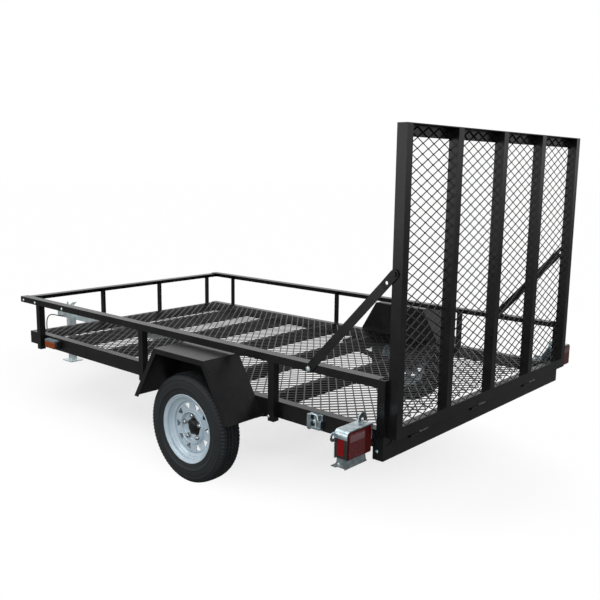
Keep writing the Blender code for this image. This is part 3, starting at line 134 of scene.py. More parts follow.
# Flanged nut on its stud: lengths, and shares of its radius
NUT_RADIUS = 0.0105
NUT_LENGTH = 0.0138
NUT_FLANGE = 0.002
NUT_COLLAR = 0.003
NUT_CHAMFER = 0.0015
NUT_SUNK = 0.001
NUT_FLANGE_SHARE = 1.25
NUT_COLLAR_SHARE = 0.9
NUT_TOP_SHARE = 0.86
NUT_FLANGE_STEPS = 24
NUT_SIDES = 6
STUD_PROUD = 0.003
STUD_CHAMFER = 0.001
STUD_SHARE = 0.55
STUD_TIP_SHARE = 0.4
STUD_STEPS = 16

# Tail lamp, from its box: corners, insets from the edges, shares of its width, and depths from
# the rear face
LAMP_CORNER = 0.004
LAMP_FAR_CORNER = 0.016
HOUSING_INSET = 0.0012
HOUSING_START = 0.010
HOUSING_BEVEL = 0.0012
BEZEL_START = 0.0045
BEZEL_END = 0.0135
LENS_INSET = 0.0035
LENS_START = 0.0006
LENS_END = 0.006
LENS_BEVEL = 0.0020
PANEL_INSET = 0.012
PANEL_DROP = 0.040
PANEL_SHARE = 0.60
PANEL_FAR_CORNER = 0.010
DULL_INSET = 0.0055
DULL_SIDE = 0.0065
DULL_SHARE = 0.66
DULL_START = 0.0003
DULL_FAR_CORNER = 0.012
SHEET_END = 0.003
SHEET_BEVEL = 0.0005
REFLECTOR_LOWER_INSET = 0.013
REFLECTOR_UPPER_INSET = 0.032
REFLECTOR_REACH = 0.0165
REFLECTOR_THICK = 0.0030
REFLECTOR_BEVEL = 0.0008

# Side marker, from its box: the rear block's share of its length, the cover's height, insets and
# overlaps
MARKER_END_SHARE = 0.13
MARKER_COVER = 0.014
MARKER_STEP = 0.002
MARKER_LAP = 0.001
MARKER_ROUND = 0.003
MARKER_END_LAP = 0.004
MARKER_END_INSET = 0.003
MARKER_END_ROUND = 0.004

# Latch plate's parts: low and high corners, as shares of its length and height, the distance
# behind its outer face, and the rounding of its lower corners
LATCH_CHANNEL = (
    ((0.03, 0.02), (0.97, 0.96), 0.0190, 0.004),
    ((0.72, 0.0), (1.0, 0.92), 0.0, 0.010),
    ((0.0, 0.10), (0.26, 0.62), 0.003, 0.008),
    ((0.04, 0.08), (0.76, 0.24), 0.002, 0.005),
    ((0.24, 0.66), (0.54, 0.92), 0.006, 0.003),
)
# Black sheets in the latch's two slots: painted shade for their dark insides
LATCH_SLOT_SHADES = (
    ((0.28, 0.26), (0.36, 0.62), 0.0150, 0.001),
    ((0.48, 0.26), (0.71, 0.88), 0.0150, 0.001),
)
LATCH_BAR = ((0.37, 0.22), (0.46, 0.70), 0.006, 0.001)
LATCH_UPPER_CORNER = 0.003
LATCH_BEVEL = 0.0012
# Its hook's path by the same shares, and its bolts' shares, radii and distances behind the face
LATCH_HOOK = ((0.62, 0.965), (0.50, 0.965), (0.34, 0.955), (0.26, 0.90), (0.16, 0.58))
LATCH_ROD_RADIUS = 0.0024
LATCH_BOLTS = (
    (0.585, 0.50, 0.0078, 0.0120),
    (0.86, 0.14, 0.0048, 0.0012),
)
LATCH_BOLT_HEIGHT = 0.0045

# A domed bolt on its washer, as shares of its radius and of its height
BOLT_PROFILE = (
    (1.35, 0.0),
    (1.35, 0.22),
    (1.0, 0.26),
    (1.0, 0.55),
    (0.86, 0.82),
    (0.5, 0.97),
    (0.1, 1.0),
)
BOLT_STEPS = 20
# Bolts on the railing, the rail, the rear post and the lamp bracket's foot
BOLTS = (
    # place by station, radius, height
    ((2.273, 0.8196, 0.651), 0.0065, 0.004),
    ((2.575, 0.8196, 0.650), 0.0065, 0.004),
    ((2.709, 0.8196, 0.651), 0.0065, 0.004),
    ((0.590, 0.8196, 0.387), 0.0050, 0.003),
    ((-0.007, 0.8196, 0.379), 0.0050, 0.003),
    ((0.066, 0.9690, 0.3500), 0.0065, 0.004),
)
# The stay's bolt, in from the front, outer and upper sides of the stay's box
STAY_BOLT_INSET = (0.019, 0.0015, 0.457)
STAY_BOLT_RADIUS = 0.0088
STAY_BOLT_HEIGHT = 0.0035

# Hinge pins' tails, partly worn bare and partly lightened as painted highlight, to the right of
# each hinge; shares are of the gate's half width
PIN_STATION = -0.060
PIN_HEIGHT = 0.4215
PIN_SHARES = (0.8073, 0.1890, -0.4668)
PIN_START = 0.032
PIN_TAIL = 0.070
PIN_RADIUS = 0.0063
PIN_CHAMFER = 0.001
PIN_STEPS = 16

# Rolled and folded edges
EDGE_ROUND = 0.0012
EDGE_STEPS = 2
EDGE_ANGLE = math.radians(50)

# Finishes, as sRGB hex colours
POWDER_BLACK = "#0f0f10"
POWDER_DUST = "#171718"
ZINC_LIGHT = "#a9b6bb"
ZINC_DARK = "#7f8d93"
# Lamp brackets' zinc, lighter than plain zinc as painted highlight
BRACKET_LIGHT = "#bfcbcf"
BRACKET_DARK = "#919fa4"
FRESH_ZINC_LIGHT = "#dde8ea"
FRESH_ZINC_DARK = "#bccacc"
RIM_BLUE = "#b9cbd6"
RIM_SHADE = "#aebfca"
RUBBER = "#0b1012"
RUBBER_WORN = "#141b1f"
LAMP_RED = "#620a0c"
LAMP_DULL = "#7a3336"
LAMP_PINK = "#a0767a"
REFLECTOR_RED = "#a80a0e"
MARKER_AMBER = "#b8560a"
# Hinge pins' steel: its lighter tone is partly wear and partly painted highlight
STEEL_BARE_AND_HIGHLIGHT = "#8a8d8f"
STEEL_DARK = "#4a4c4d"
NUT_CHROME = "#b3b8bb"
NUT_SHADE = "#8d9498"
JACKET_BLACK = "#141415"
JACKET_SHADE = "#0f0f10"
HOUSING_BLACK = "#1a1a1b"
HOUSING_SHADE = "#101011"
COVER_GREY = "#6c7a82"
COVER_SHADE = "#5b6870"
FLOOR_WHITE = "#f2f2f2"
FLOOR_BOUNCED = "#8c8c8c"

# Patterns: sizes in metres, where a ramp's two tones lie, and how strongly each pattern is drawn
ZINC_TEXTURE = {"patch": 0.03, "grain": 0.004, "bump": 0.15}
PLASTIC_TEXTURE = {"patch": 0.02, "grain": 0.002, "bump": 0.2}
PATCH_DETAIL = 4.0
PATCH_STOPS = (0.35, 0.68)
GRAIN_DETAIL = 2.0
GRAIN_FLATNESS = 8
ROUGH_LEAST = 0.8
ROUGH_MOST = 1.25
LENS_PRISM = 0.004
REFLECTOR_PRISM = 0.003
PRISM_FLATNESS = 4
PRISM_BUMP = 0.35
HAZE_PRISMS = 3
HAZE_DETAIL = 3.0
HAZE_STRENGTH = 1.6
LENS_STOPS = (0.75, 1.0)
LENS_SHADE = 0.45

# Floor and surround: the floor's half side, and the oval in which the trailer's shadow shows and
# the floor glows less, as painted shade
FLOOR_HALF = 60.0
FLOOR_DROP = 0.001
FLOOR_SHADE_REACH = (2.3, 0.98, 1.0)
FLOOR_SHADE_START = 0.50
FLOOR_SHADE_END = 1.05
FLOOR_GLOW_INSIDE = 0.55
FLOOR_GLOW_OUTSIDE = 0.99
WORLD_LIGHT = 0.55
# A Mix node's inputs: its factor and its two colours
MIX_FACTOR, MIX_FIRST, MIX_SECOND = 0, 6, 7

cad_nodes = frame["nodes"]


def linear(hex_colour):
    """An sRGB hex colour as linear red, green, blue and alpha, by the sRGB curve."""
    values = [int(hex_colour[start : start + 2], 16) / 255 for start in (1, 3, 5)]
    turned = [v / 12.92 if v <= 0.04045 else ((v + 0.055) / 1.055) ** 2.4 for v in values]
    return (*turned, 1.0)


def add_node(tree, kind, sockets=None, **settings):
    """Adds a node; settings are its properties, sockets its inputs' values or what feeds them."""
    made = tree.nodes.new(kind)
    for name, value in settings.items():
        setattr(made, name, value)
    for socket, value in (sockets or {}).items():
        if isinstance(value, bpy.types.NodeSocket):
            tree.links.new(value, made.inputs[socket])
        else:
            made.inputs[socket].default_value = value
    return made


def new_material(name):
    """An empty node material and its tree."""
    made = bpy.data.materials.new(name)
    made.use_nodes = True
    made.node_tree.nodes.clear()
    return made, made.node_tree


def speckled(name, dark, light, patch, grain, bump, roughness, **shader_sockets):
    """A surface whose colour wanders between two tones in patches, with a fine bump over it.

    patch and grain are the patches' and the bump's sizes in metres.
    """
    made, tree = new_material(name)
    place = add_node(tree, "ShaderNodeTexCoord").outputs["Object"]
    patches = add_node(
        tree, "ShaderNodeTexNoise", {"Vector": place, "Scale": 1 / patch, "Detail": PATCH_DETAIL}
    )
    tones = add_node(tree, "ShaderNodeValToRGB", {"Fac": patches.outputs["Fac"]})
    for stop, share, colour in zip(tones.color_ramp.elements, PATCH_STOPS, (dark, light)):
        stop.position = share
        stop.color = linear(colour)
    fine = add_node(
        tree, "ShaderNodeTexNoise", {"Vector": place, "Scale": 1 / grain, "Detail": GRAIN_DETAIL}
    )
    bumped = add_node(
        tree,
        "ShaderNodeBump",
        {"Height": fine.outputs["Fac"], "Strength": bump, "Distance": grain / GRAIN_FLATNESS},
    )
    spread = add_node(
        tree,
        "ShaderNodeMapRange",
        {
            "Value": patches.outputs["Fac"],
            "To Min": roughness * ROUGH_LEAST,
            "To Max": roughness * ROUGH_MOST,
        },
    )
    sockets = {
        "Base Color": tones.outputs["Color"],
        "Roughness": spread.outputs["Result"],
        "Normal": bumped.outputs["Normal"],
    }
    sockets.update(shader_sockets)
    shader = add_node(tree, "ShaderNodeBsdfPrincipled", sockets)
    add_node(tree, "ShaderNodeOutputMaterial", {"Surface": shader.outputs[0]})
    return made


def moulded_lens(name, colour, prism, **shader_sockets):
    """A clear moulded lens over its own colour, with prisms and a haze that break up the light."""
    made, tree = new_material(name)
    place = add_node(tree, "ShaderNodeTexCoord").outputs["Object"]
    prisms = add_node(
        tree,
        "ShaderNodeTexVoronoi",
        {"Vector": place, "Scale": 1 / prism, "Randomness": 0.0},
        distance="CHEBYCHEV",
    )
    haze = add_node(
        tree,
        "ShaderNodeTexNoise",
        {"Vector": place, "Scale": 1 / (HAZE_PRISMS * prism), "Detail": HAZE_DETAIL},
    )
    depth = add_node(
        tree,
        "ShaderNodeMath",
        {0: haze.outputs["Fac"], 1: HAZE_STRENGTH, 2: prisms.outputs["Distance"]},
        operation="MULTIPLY_ADD",
    )
    tones = add_node(tree, "ShaderNodeValToRGB", {"Fac": depth.outputs[0]})
    full = linear(colour)
    shaded = [value * LENS_SHADE for value in full[:3]] + [1.0]
    for stop, share, tone in zip(tones.color_ramp.elements, LENS_STOPS, (full, shaded)):
        stop.position = share
        stop.color = tone
    bumped = add_node(
        tree,
        "ShaderNodeBump",
        {
            "Height": prisms.outputs["Distance"],
            "Strength": PRISM_BUMP,
            "Distance": prism / PRISM_FLATNESS,
        },
    )
    sockets = {
        "Base Color": tones.outputs["Color"],
        "Normal": bumped.outputs["Normal"],
        "Roughness": 0.22,
        "Specular IOR Level": 0.2,
        "IOR": 1.49,
    }
    sockets.update(shader_sockets)
    shader = add_node(tree, "ShaderNodeBsdfPrincipled", sockets)
    add_node(tree, "ShaderNodeOutputMaterial", {"Surface": shader.outputs[0]})
    return made


# These finishes' real grain is too fine to show, so each is drawn coarser than it is
# Powder coat over welded angle: a smooth low gloss black with a faint orange peel
powder_coat = speckled(
    "black_powder_coat",
    POWDER_BLACK,
    POWDER_DUST,
    patch=0.09,
    grain=0.006,
    bump=0.25,
    roughness=0.28,
    **{"IOR": 1.5, "Specular IOR Level": 0.23},
)
# Zinc plated steel: a blue-grey metal, softly clouded
zinc_plate = speckled(
    "zinc_plated_steel",
    ZINC_DARK,
    ZINC_LIGHT,
    roughness=0.34,
    **ZINC_TEXTURE,
    **{"Metallic": 1.0},
)
# Zinc plated lamp brackets: a tone between the other two, lighter as a painted highlight where
# their hoods catch the light
bracket_zinc = speckled(
    "zinc_plated_brackets",
    BRACKET_DARK,
    BRACKET_LIGHT,
    roughness=0.36,
    **ZINC_TEXTURE,
    **{"Metallic": 1.0},
)
# Fresh zinc plating on the tongue and coupler: paler, with the same soft clouds
bright_zinc = speckled(
    "fresh_zinc_plating",
    FRESH_ZINC_DARK,
    FRESH_ZINC_LIGHT,
    roughness=0.32,
    **ZINC_TEXTURE,
    **{"Metallic": 0.65},
)
# Baked enamel on the steel rim: pale blue white, glossy
rim_enamel = speckled(
    "rim_enamel",
    RIM_SHADE,
    RIM_BLUE,
    patch=0.05,
    grain=0.008,
    bump=0.06,
    roughness=0.24,
    **{"IOR": 1.5, "Coat Weight": 0.8, "Coat Roughness": 0.06},
)
# Vulcanised rubber: dark grey, dull, with a fine grain
tyre_rubber = speckled(
    "tyre_rubber",
    RUBBER,
    RUBBER_WORN,
    patch=0.06,
    grain=0.003,
    bump=0.4,
    roughness=0.60,
    **{"IOR": 1.52, "Specular IOR Level": 0.35},
)
# Steel rubbed bare where the hinge pins slide, and lightened as a painted highlight where they
# catch the light: dark grey with a dull shine
worn_steel_and_highlight = speckled(
    "worn_steel_and_highlight",
    STEEL_DARK,
    STEEL_BARE_AND_HIGHLIGHT,
    patch=0.012,
    grain=0.003,
    bump=0.2,
    roughness=0.38,
    **{"Metallic": 1.0},
)
# Chromed steel nuts: small and bright, with sharp reflections
nut_chrome = speckled(
    "chromed_steel",
    NUT_SHADE,
    NUT_CHROME,
    patch=0.01,
    grain=0.004,
    bump=0.05,
    roughness=0.26,
    **{"Metallic": 1.0},
)
# Soft PVC jacket and its moulded connector: black with a satin shine
jacket_pvc = speckled(
    "pvc_jacket",
    JACKET_SHADE,
    JACKET_BLACK,
    roughness=0.42,
    **PLASTIC_TEXTURE,
    **{"IOR": 1.52},
)
# Moulded black ABS housing behind the lenses: dull, with a faint grain; in the latch's slots the
# same black is painted shade
black_housing_and_slot_shade = speckled(
    "black_abs_housing_and_slot_shade",
    HOUSING_SHADE,
    HOUSING_BLACK,
    roughness=0.4,
    **PLASTIC_TEXTURE,
    **{"IOR": 1.52},
)
# Moulded grey ABS cover over the side markers: dull, with a faint grain
grey_housing = speckled(
    "grey_abs_cover",
    COVER_SHADE,
    COVER_GREY,
    roughness=0.4,
    **PLASTIC_TEXTURE,
    **{"IOR": 1.52},
)
# Moulded acrylic lenses: their own colour, broken up by small prisms
red_lens = moulded_lens("red_acrylic_lens", LAMP_RED, LENS_PRISM, **{"Specular IOR Level": 0.08})
dull_lens = moulded_lens("dull_red_acrylic_lens", LAMP_DULL, LENS_PRISM)
pink_lens = moulded_lens("pink_acrylic_lens", LAMP_PINK, LENS_PRISM)
reflector_lens = moulded_lens("red_reflector", REFLECTOR_RED, REFLECTOR_PRISM)
amber_lens = moulded_lens("amber_acrylic_lens", MARKER_AMBER, LENS_PRISM)

SLOT_FINISH = {
    "paint": powder_coat,
    "zinc": zinc_plate,
    "rim_paint": rim_enamel,
    "tyre": tyre_rubber,
    "lens_red": red_lens,
    "lens_amber": amber_lens,
    "lead_jacket": jacket_pvc,
}


def finish_node(name, finish):
    """Gives a CAD node one finish in all its slots."""
    mesh = cad_nodes[name].data
    mesh.materials.clear()
    mesh.materials.append(finish)


for row in frame["record"]["subparts"]:
    finish_node(row["node"], SLOT_FINISH[row["material_slot"]])
for name in ("tongue", "coupler", "coupler_latch", "stand_sleeve", "stand_leg"):
    finish_node(name, bright_zinc)
# The lamp brackets' lighter zinc is a painted highlight
for name in ("lamp_bracket_left", "lamp_bracket_right"):
    finish_node(name, bracket_zinc)
for node in cad_nodes.values():
    edges = node.modifiers.new("rounded_edges", "BEVEL")
    edges.width = EDGE_ROUND
    edges.segments = EDGE_STEPS
    edges.limit_method = "ANGLE"
    edges.angle_limit = EDGE_ANGLE
    edges.harden_normals = True


def add_piece(name, shape, finish, body, replaced=(), smooth_angle=40):
    """Makes a piece of the shape, with its finish, body and the CAD nodes that it stands for.

    Faces that meet at more than smooth_angle, in degrees, have a sharp edge between them.
    """
    points, faces = shape
    mesh = bpy.data.meshes.new(name)
    mesh.from_pydata(np.asarray(points).tolist(), [], faces)
    mesh.validate()
    outward = bmesh.new()
    outward.from_mesh(mesh)
    bmesh.ops.recalc_face_normals(outward, faces=outward.faces[:])
    outward.to_mesh(mesh)
    outward.free()
    made = bpy.data.objects.new(name, mesh)
    bpy.context.scene.collection.objects.link(made)
    mesh.shade_smooth()
    mesh.set_sharp_from_angle(angle=math.radians(smooth_angle))
    mesh.materials.append(finish)
    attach(made, body)
    if replaced:
        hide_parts(*replaced)


def join(shapes):
    """Several shapes as one."""
    points, faces, start = [], [], 0
    for some_points, some_faces in shapes:
        points.append(np.asarray(some_points))
        faces += [[start + k for k in face] for face in some_faces]
        start += len(some_points)
    return np.concatenate(points), faces


def mirror(shape):
    """The shape on the trailer's other side, with its faces turned out again."""
    points, faces = shape
    return points * (1, -1, 1), [face[::-1] for face in faces]


def grid_quads(rows, columns, wrap_rows=False, wrap_columns=False):
    """Quads between neighbours of a grid of points that is stored row after row."""
    row = np.arange(rows if wrap_rows else rows - 1)[:, None]
    column = np.arange(columns if wrap_columns else columns - 1)[None, :]
    below = (row + 1) % rows * columns
    beside = (column + 1) % columns
    here = row * columns
    quads = np.stack((here + column, here + beside, below + beside, below + column), -1)
    return quads.reshape(-1, 4).tolist()


def turned(profile, steps, closed=True):
    """A (radius, offset) profile turned about the Y axis: x = r cos a, y = offset, z = r sin a.

    A closed profile makes a ring; an open one leaves both its ends open.
    """
    profile = np.asarray(profile, float)
    angle = np.arange(steps) * math.tau / steps
    radius, offset = profile[:, 0], profile[:, 1]
    points = np.stack(
        (
            np.cos(angle)[:, None] * radius,
            np.broadcast_to(offset, (steps, len(profile))),
            np.sin(angle)[:, None] * radius,
        ),
        -1,
    )
    return points.reshape(-1, 3), grid_quads(steps, len(profile), True, closed)


def turned_solid(profile, steps):
    """An open profile turned about the Y axis, with both ends closed by flat faces."""
    points, faces = turned(profile, steps, False)
    count = len(profile)
    first = [k * count for k in range(steps)]
    last = [k * count + count - 1 for k in range(steps)]
    return points, faces + [first[::-1], last]


def mitres(outline):
    """How far each corner of a convex outline moves when both its edges move in by one length."""
    edge = np.roll(outline, -1, axis=0) - outline
    edge /= np.linalg.norm(edge, axis=1)[:, None]
    inward = np.stack((-edge[:, 1], edge[:, 0]), -1)
    before = np.roll(inward, 1, axis=0)
    return (inward + before) / (1 + (inward * before).sum(1))[:, None]


def rounded(corners_table, steps=5):
    """A convex outline of (u, v, radius) corners, each replaced by an arc that touches both edges.

    The arc's centre lies at the corner plus its mitre times the radius, and its directions run
    evenly from one edge's outward normal to the next one's.
    """
    table = np.array(corners_table, float)
    outline, radius = table[:, :2], table[:, 2]
    edge = np.roll(outline, -1, axis=0) - outline
    after = np.arctan2(-edge[:, 0], edge[:, 1])
    before = np.roll(after, 1)
    turn = (after - before) % math.tau
    angle = before[:, None] + turn[:, None] * np.linspace(0, 1, steps)
    centre = outline + mitres(outline) * radius[:, None]
    points = centre[:, None] + radius[:, None, None] * np.stack((np.cos(angle), np.sin(angle)), -1)
    return points.reshape(-1, 2)


def slab(outline, start, end, bevel, axis=0):
    """A plate along an axis over a convex outline: four rings, the first and last moved in.

    The outline runs anticlockwise seen from the axis's far end, in the two axes that follow it.
    """
    drawn_in = outline + mitres(outline) * bevel
    count = len(outline)
    rings = np.zeros((4, count, 3))
    for ring, (shape, place) in enumerate(
        ((drawn_in, start), (outline, start + bevel), (outline, end - bevel), (drawn_in, end))
    ):
        rings[ring, :, axis] = place
        rings[ring, :, (axis + 1) % 3] = shape[:, 0]
        rings[ring, :, (axis + 2) % 3] = shape[:, 1]
    faces = grid_quads(4, count, False, True)
    faces.append(list(range(count))[::-1])
    faces.append(list(range(3 * count, 4 * count)))
    return rings.reshape(-1, 3), faces


def oblong(low, high, corner, far_corner, steps=5):
    """An oblong outline between two corners, rounded, with the far corner's own radius."""
    (u0, v0), (u1, v1) = low, high
    table = ((u0, v0, corner), (u1, v0, corner), (u1, v1, far_corner), (u0, v1, corner))
    return rounded(table, steps)


def block(low, high, bevel):
    """A box with bevelled edges at its two X faces and small rounds along it."""
    outline = oblong(low[1:], high[1:], bevel, bevel, 3)
    return slab(outline, low[0], high[0], bevel)


def bent_rod(path, across, radius, steps=12):
    """A round rod along a path in one plane: circles in the planes square to the path.

    across is the plane's normal; the other direction of each circle is across times the tangent.
    """
    path = np.asarray(path, float)
    across = np.asarray(across, float)
    tangent = np.gradient(path, axis=0)
    tangent /= np.linalg.norm(tangent, axis=1)[:, None]
    side = np.cross(across, tangent)
    angle = np.arange(steps) * math.tau / steps
    circle = np.cos(angle)[None, :, None] * side[:, None] + np.sin(angle)[None, :, None] * across
    points = (path[:, None] + radius * circle).reshape(-1, 3)
    count = len(path)
    faces = [face[::-1] for face in grid_quads(count, steps, False, True)]
    faces.append(list(range(steps)))
    faces.append(list(range((count - 1) * steps, count * steps))[::-1])
    return points, faces


def domed_bolt(radius, height):
    """A bolt's domed head on a washer, along Y."""
    return turned_solid(np.array(BOLT_PROFILE) * (radius, height), BOLT_STEPS)


def camera():
    """The photograph's camera, from its place, its yaw, pitch and roll and its focal length."""
    yaw, pitch, roll = (math.radians(angle) for angle in (CAMERA_YAW, CAMERA_PITCH, CAMERA_ROLL))
    level = math.cos(pitch)
    ahead = Vector((math.cos(yaw) * level, math.sin(yaw) * level, math.sin(pitch)))
    right = Vector((math.sin(yaw), -math.cos(yaw), 0))
    above = right.cross(ahead)
    rolled_right = right * math.cos(roll) + above * math.sin(roll)
    rolled_above = above * math.cos(roll) - right * math.sin(roll)
    data = bpy.data.cameras.new("camera")
    data.sensor_width = SENSOR_WIDTH
    data.lens = SENSOR_WIDTH * FOCAL_PIXELS / IMAGE_WIDTH
    data.clip_end = CAMERA_FAR
    made = bpy.data.objects.new("camera", data)
    bpy.context.scene.collection.objects.link(made)
    turn = Matrix((rolled_right, rolled_above, -ahead)).transposed()
    made.matrix_world = Matrix.Translation(CAMERA_PLACE) @ turn.to_4x4()
    bpy.context.scene.camera = made


def wiring_lead():
    """The wiring lead as a round tube along its route, ending at the flat connector."""
    route = LEAD_ROUTE - (STATION_ORIGIN, 0, 0)
    curve = bpy.data.curves.new("lead_jacket", "CURVE")
    curve.dimensions = "3D"
    curve.bevel_depth = LEAD_DIAMETER / 2
    curve.bevel_resolution = LEAD_ROUNDNESS
    curve.use_fill_caps = True
    line = curve.splines.new("POLY")
    line.points.add(len(route) - 1)
    line.points.foreach_set("co", np.column_stack((route, np.ones(len(route)))).ravel())
    curve.materials.append(jacket_pvc)
    made = bpy.data.objects.new("lead_jacket", curve)
    bpy.context.scene.collection.objects.link(made)
    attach(made, "chassis")
    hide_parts("wiring_lead")


def expanded_sheet(low, high, axes, diamond, section_size, lean):
    """Expanded metal between two corners, as one bent strand for each half row.

    A strand runs the long way; its height up the short way is its row's plus or minus a wave with
    flat tops, the sign changing from row to row, so that neighbours meet at the flats. Its oblong
    section leans the same way all along, as the slitting press leaves it.
    """
    low, high = np.array(low), np.array(high)
    along, up, out = axes
    long_way, short_way = diamond
    wide, thick = section_size[0] / 2, section_size[1] / 2
    phases = np.array((MESH_BOND_SHARE / 2, 0.5 - MESH_BOND_SHARE / 2))
    phases = np.concatenate((phases, phases + 0.5))
    first, last = low[along] / long_way, high[along] / long_way
    turns = (np.arange(math.floor(first), math.ceil(last))[:, None] + phases).ravel()
    turns = turns[(turns > first) & (turns < last)]
    turns = np.concatenate(((first,), turns, (last,)))
    fold = np.abs((turns % 1) - 0.5) * 2
    wave = np.clip((fold - 0.5) * 2 / (1 - 2 * MESH_BOND_SHARE), -1, 1)
    swing = short_way / 4 - wide / 2
    reach = swing + wide
    pitch = short_way / 2
    first_row = math.ceil((low[up] + reach) / pitch)
    last_row = math.floor((high[up] - reach) / pitch)
    rows = np.arange(first_row, last_row + 1)
    sign = np.where(rows % 2, 1.0, -1.0)
    centre = np.zeros((len(rows), len(turns), 3))
    centre[..., along] = turns * long_way
    centre[..., up] = rows[:, None] * pitch + sign[:, None] * wave * swing
    centre[..., out] = (low[out] + high[out]) / 2
    section = np.zeros((4, 3))
    for corner, (a, b) in enumerate(((-1, -1), (1, -1), (1, 1), (-1, 1))):
        section[corner, up] = a * wide * math.cos(lean) - b * thick * math.sin(lean)
        section[corner, out] = a * wide * math.sin(lean) + b * thick * math.cos(lean)
    points = centre[:, :, None, :] + section
    strand = np.array(grid_quads(len(turns), 4, False, True))
    size = len(turns) * 4
    ends = np.array(((3, 2, 1, 0), (size - 4, size - 3, size - 2, size - 1)))
    strand = np.concatenate((strand, ends))
    faces = strand[None] + (np.arange(len(rows)) * size)[:, None, None]
    return points.reshape(-1, 3), faces.reshape(-1, 4).tolist()


def expanded_metal():
    """The floor's sheet and the gate's four, each in the place of its CAD node."""
    floor = ((1, 0, 2), (FLOOR_LONG, FLOOR_SHORT), (FLOOR_STRAND, FLOOR_STRAND_THICK), FLOOR_LEAN)
    gate = ((1, 2, 0), (GATE_LONG, GATE_SHORT), (GATE_STRAND, GATE_STRAND_THICK), GATE_LEAN)
    rows = [("floor_mesh", "chassis", floor)]
    rows += [(f"gate_mesh_{number}", "gate", gate) for number in range(1, 5)]
    for node, body, (axes, diamond, section_size, lean) in rows:
        low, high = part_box(node)
        shape = expanded_sheet(low, high, axes, diamond, section_size, lean)
        add_piece(f"{node}_strands", shape, powder_coat, body, [node], smooth_angle=20)


def wheel_place(side_name):
    """The wheel's centre, from the tyre's box."""
    low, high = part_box(f"tyre_{side_name}")
    return (np.array(low) + np.array(high)) / 2


def tyre_shape():
    """The tyre as a turned profile whose tread lines swing from side to side round the wheel.

    A point's radius is its profile's, less a notch on every fourth step at the shoulders, and its
    offset is its profile's plus a triangle wave of the angle, scaled by how far into the tread it
    lies.
    """
    low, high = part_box("tyre_left")
    radius = high[2] - (low[2] + high[2]) / 2
    half = (high[1] - low[1]) / 2
    rows = (
        # radius below the crown, offset, zigzag share, notch share
        (0.0000, 0.0000, 0.0, 0.0),
        (0.0002, 0.0082, 1.0, 0.0),
        (GROOVE_DEPTH, 0.0086, 1.0, 0.0),
        (GROOVE_DEPTH, 0.0138, 1.0, 0.0),
        (0.0006, 0.0142, 1.0, 0.0),
        (0.0012, 0.0256, 1.0, 0.0),
        (GROOVE_DEPTH, 0.0260, 1.0, 0.0),
        (GROOVE_DEPTH, 0.0314, 1.0, 0.0),
        (0.0024, 0.0318, 1.0, 0.0),
        (0.0040, 0.0420, 0.0, 0.4),
        (0.0062, 0.0480, 0.0, 1.0),
        (0.0100, 0.0520, 0.0, 1.0),
        (0.0150, 0.0548, 0.0, 0.8),
        (0.0200, 0.0566, 0.0, 0.0),
        (0.0260, 0.0582, 0.0, 0.0),
        (0.0268, 0.0592, 0.0, 0.0),
        (0.0286, 0.0594, 0.0, 0.0),
        (0.0294, 0.0588, 0.0, 0.0),
        (0.0360, 0.0600, 0.0, 0.0),
        (0.0420, 0.0608, 0.0, 0.0),
        (0.0490, half, 0.0, 0.0),
        (0.0560, 0.0608, 0.0, 0.0),
        (0.0640, 0.0596, 0.0, 0.0),
        (0.0650, 0.0604, 0.0, 0.0),
        (0.0662, 0.0602, 0.0, 0.0),
        (0.0670, 0.0590, 0.0, 0.0),
        (0.0750, 0.0572, 0.0, 0.0),
        (0.0830, 0.0546, 0.0, 0.0),
        (0.0840, 0.0554, 0.0, 0.0),
        (0.0862, 0.0550, 0.0, 0.0),
        (0.0930, 0.0528, 0.0, 0.0),
        (0.1110, 0.0484, 0.0, 0.0),
        (0.1110, 0.0300, 0.0, 0.0),
    )
    half_rows = np.array(rows)
    other = half_rows[:0:-1] * (1, -1, 1, 1)
    table = np.concatenate((other, half_rows))
    steps = TREAD_PITCHES * STEPS_PER_PITCH
    angle = np.arange(steps) * math.tau / steps
    swing = np.abs((np.arange(steps) / STEPS_PER_PITCH) % 1 - 0.5) * 4 - 1
    notch = (np.arange(steps) % STEPS_PER_PITCH == 1).astype(float)
    r = radius - table[:, 0] - notch[:, None] * table[:, 3] * NOTCH_DEPTH
    y = table[:, 1] + swing[:, None] * table[:, 2] * TREAD_ZIGZAG
    points = np.stack((np.cos(angle)[:, None] * r, y, np.sin(angle)[:, None] * r), -1)
    return points.reshape(-1, 3), grid_quads(steps, len(table), True, True)


def tyres():
    """A treaded tyre on each wheel."""
    shape = tyre_shape()
    for side_name, side in (("left", 1), ("right", -1)):
        centre = wheel_place(side_name)
        points, faces = shape if side > 0 else mirror(shape)
        add_piece(
            f"tyre_tread_{side_name}",
            (points + centre, faces),
            tyre_rubber,
            f"wheel_{side_name}",
            [f"tyre_{side_name}"],
            smooth_angle=50,
        )


def barrel_shape():
    """The rim's barrel: a rolled flange, a bead seat and a stepped well, turned about the axle."""
    outside = (
        # radius, offset of the side towards the tyre
        (0.1665, 0.0525),
        (0.1524, 0.0490),
        (0.1524, 0.0347),
        (0.1300, 0.0213),
        (0.1300, -0.0168),
        (0.1524, -0.0308),
        (0.1524, -0.0490),
        (0.1665, -0.0525),
    )
    inside = (
        # radius, offset of the side towards the axle
        (0.1665, -0.0560),
        (0.1489, -0.0490),
        (0.1489, -0.0308),
        (0.1265, -0.0168),
        (0.1265, 0.0190),
        (0.1310, 0.0228),
        (0.1380, 0.0250),
        (0.1400, 0.0300),
        (0.1470, 0.0330),
        (0.1486, 0.0350),
        (0.1489, 0.0460),
        (0.1520, 0.0490),
        (0.1560, 0.0500),
        (0.1590, 0.0520),
        (0.1610, 0.0548),
        (0.1635, 0.0560),
        (0.1660, 0.0552),
    )
    return turned(outside + inside, RIM_STEPS)


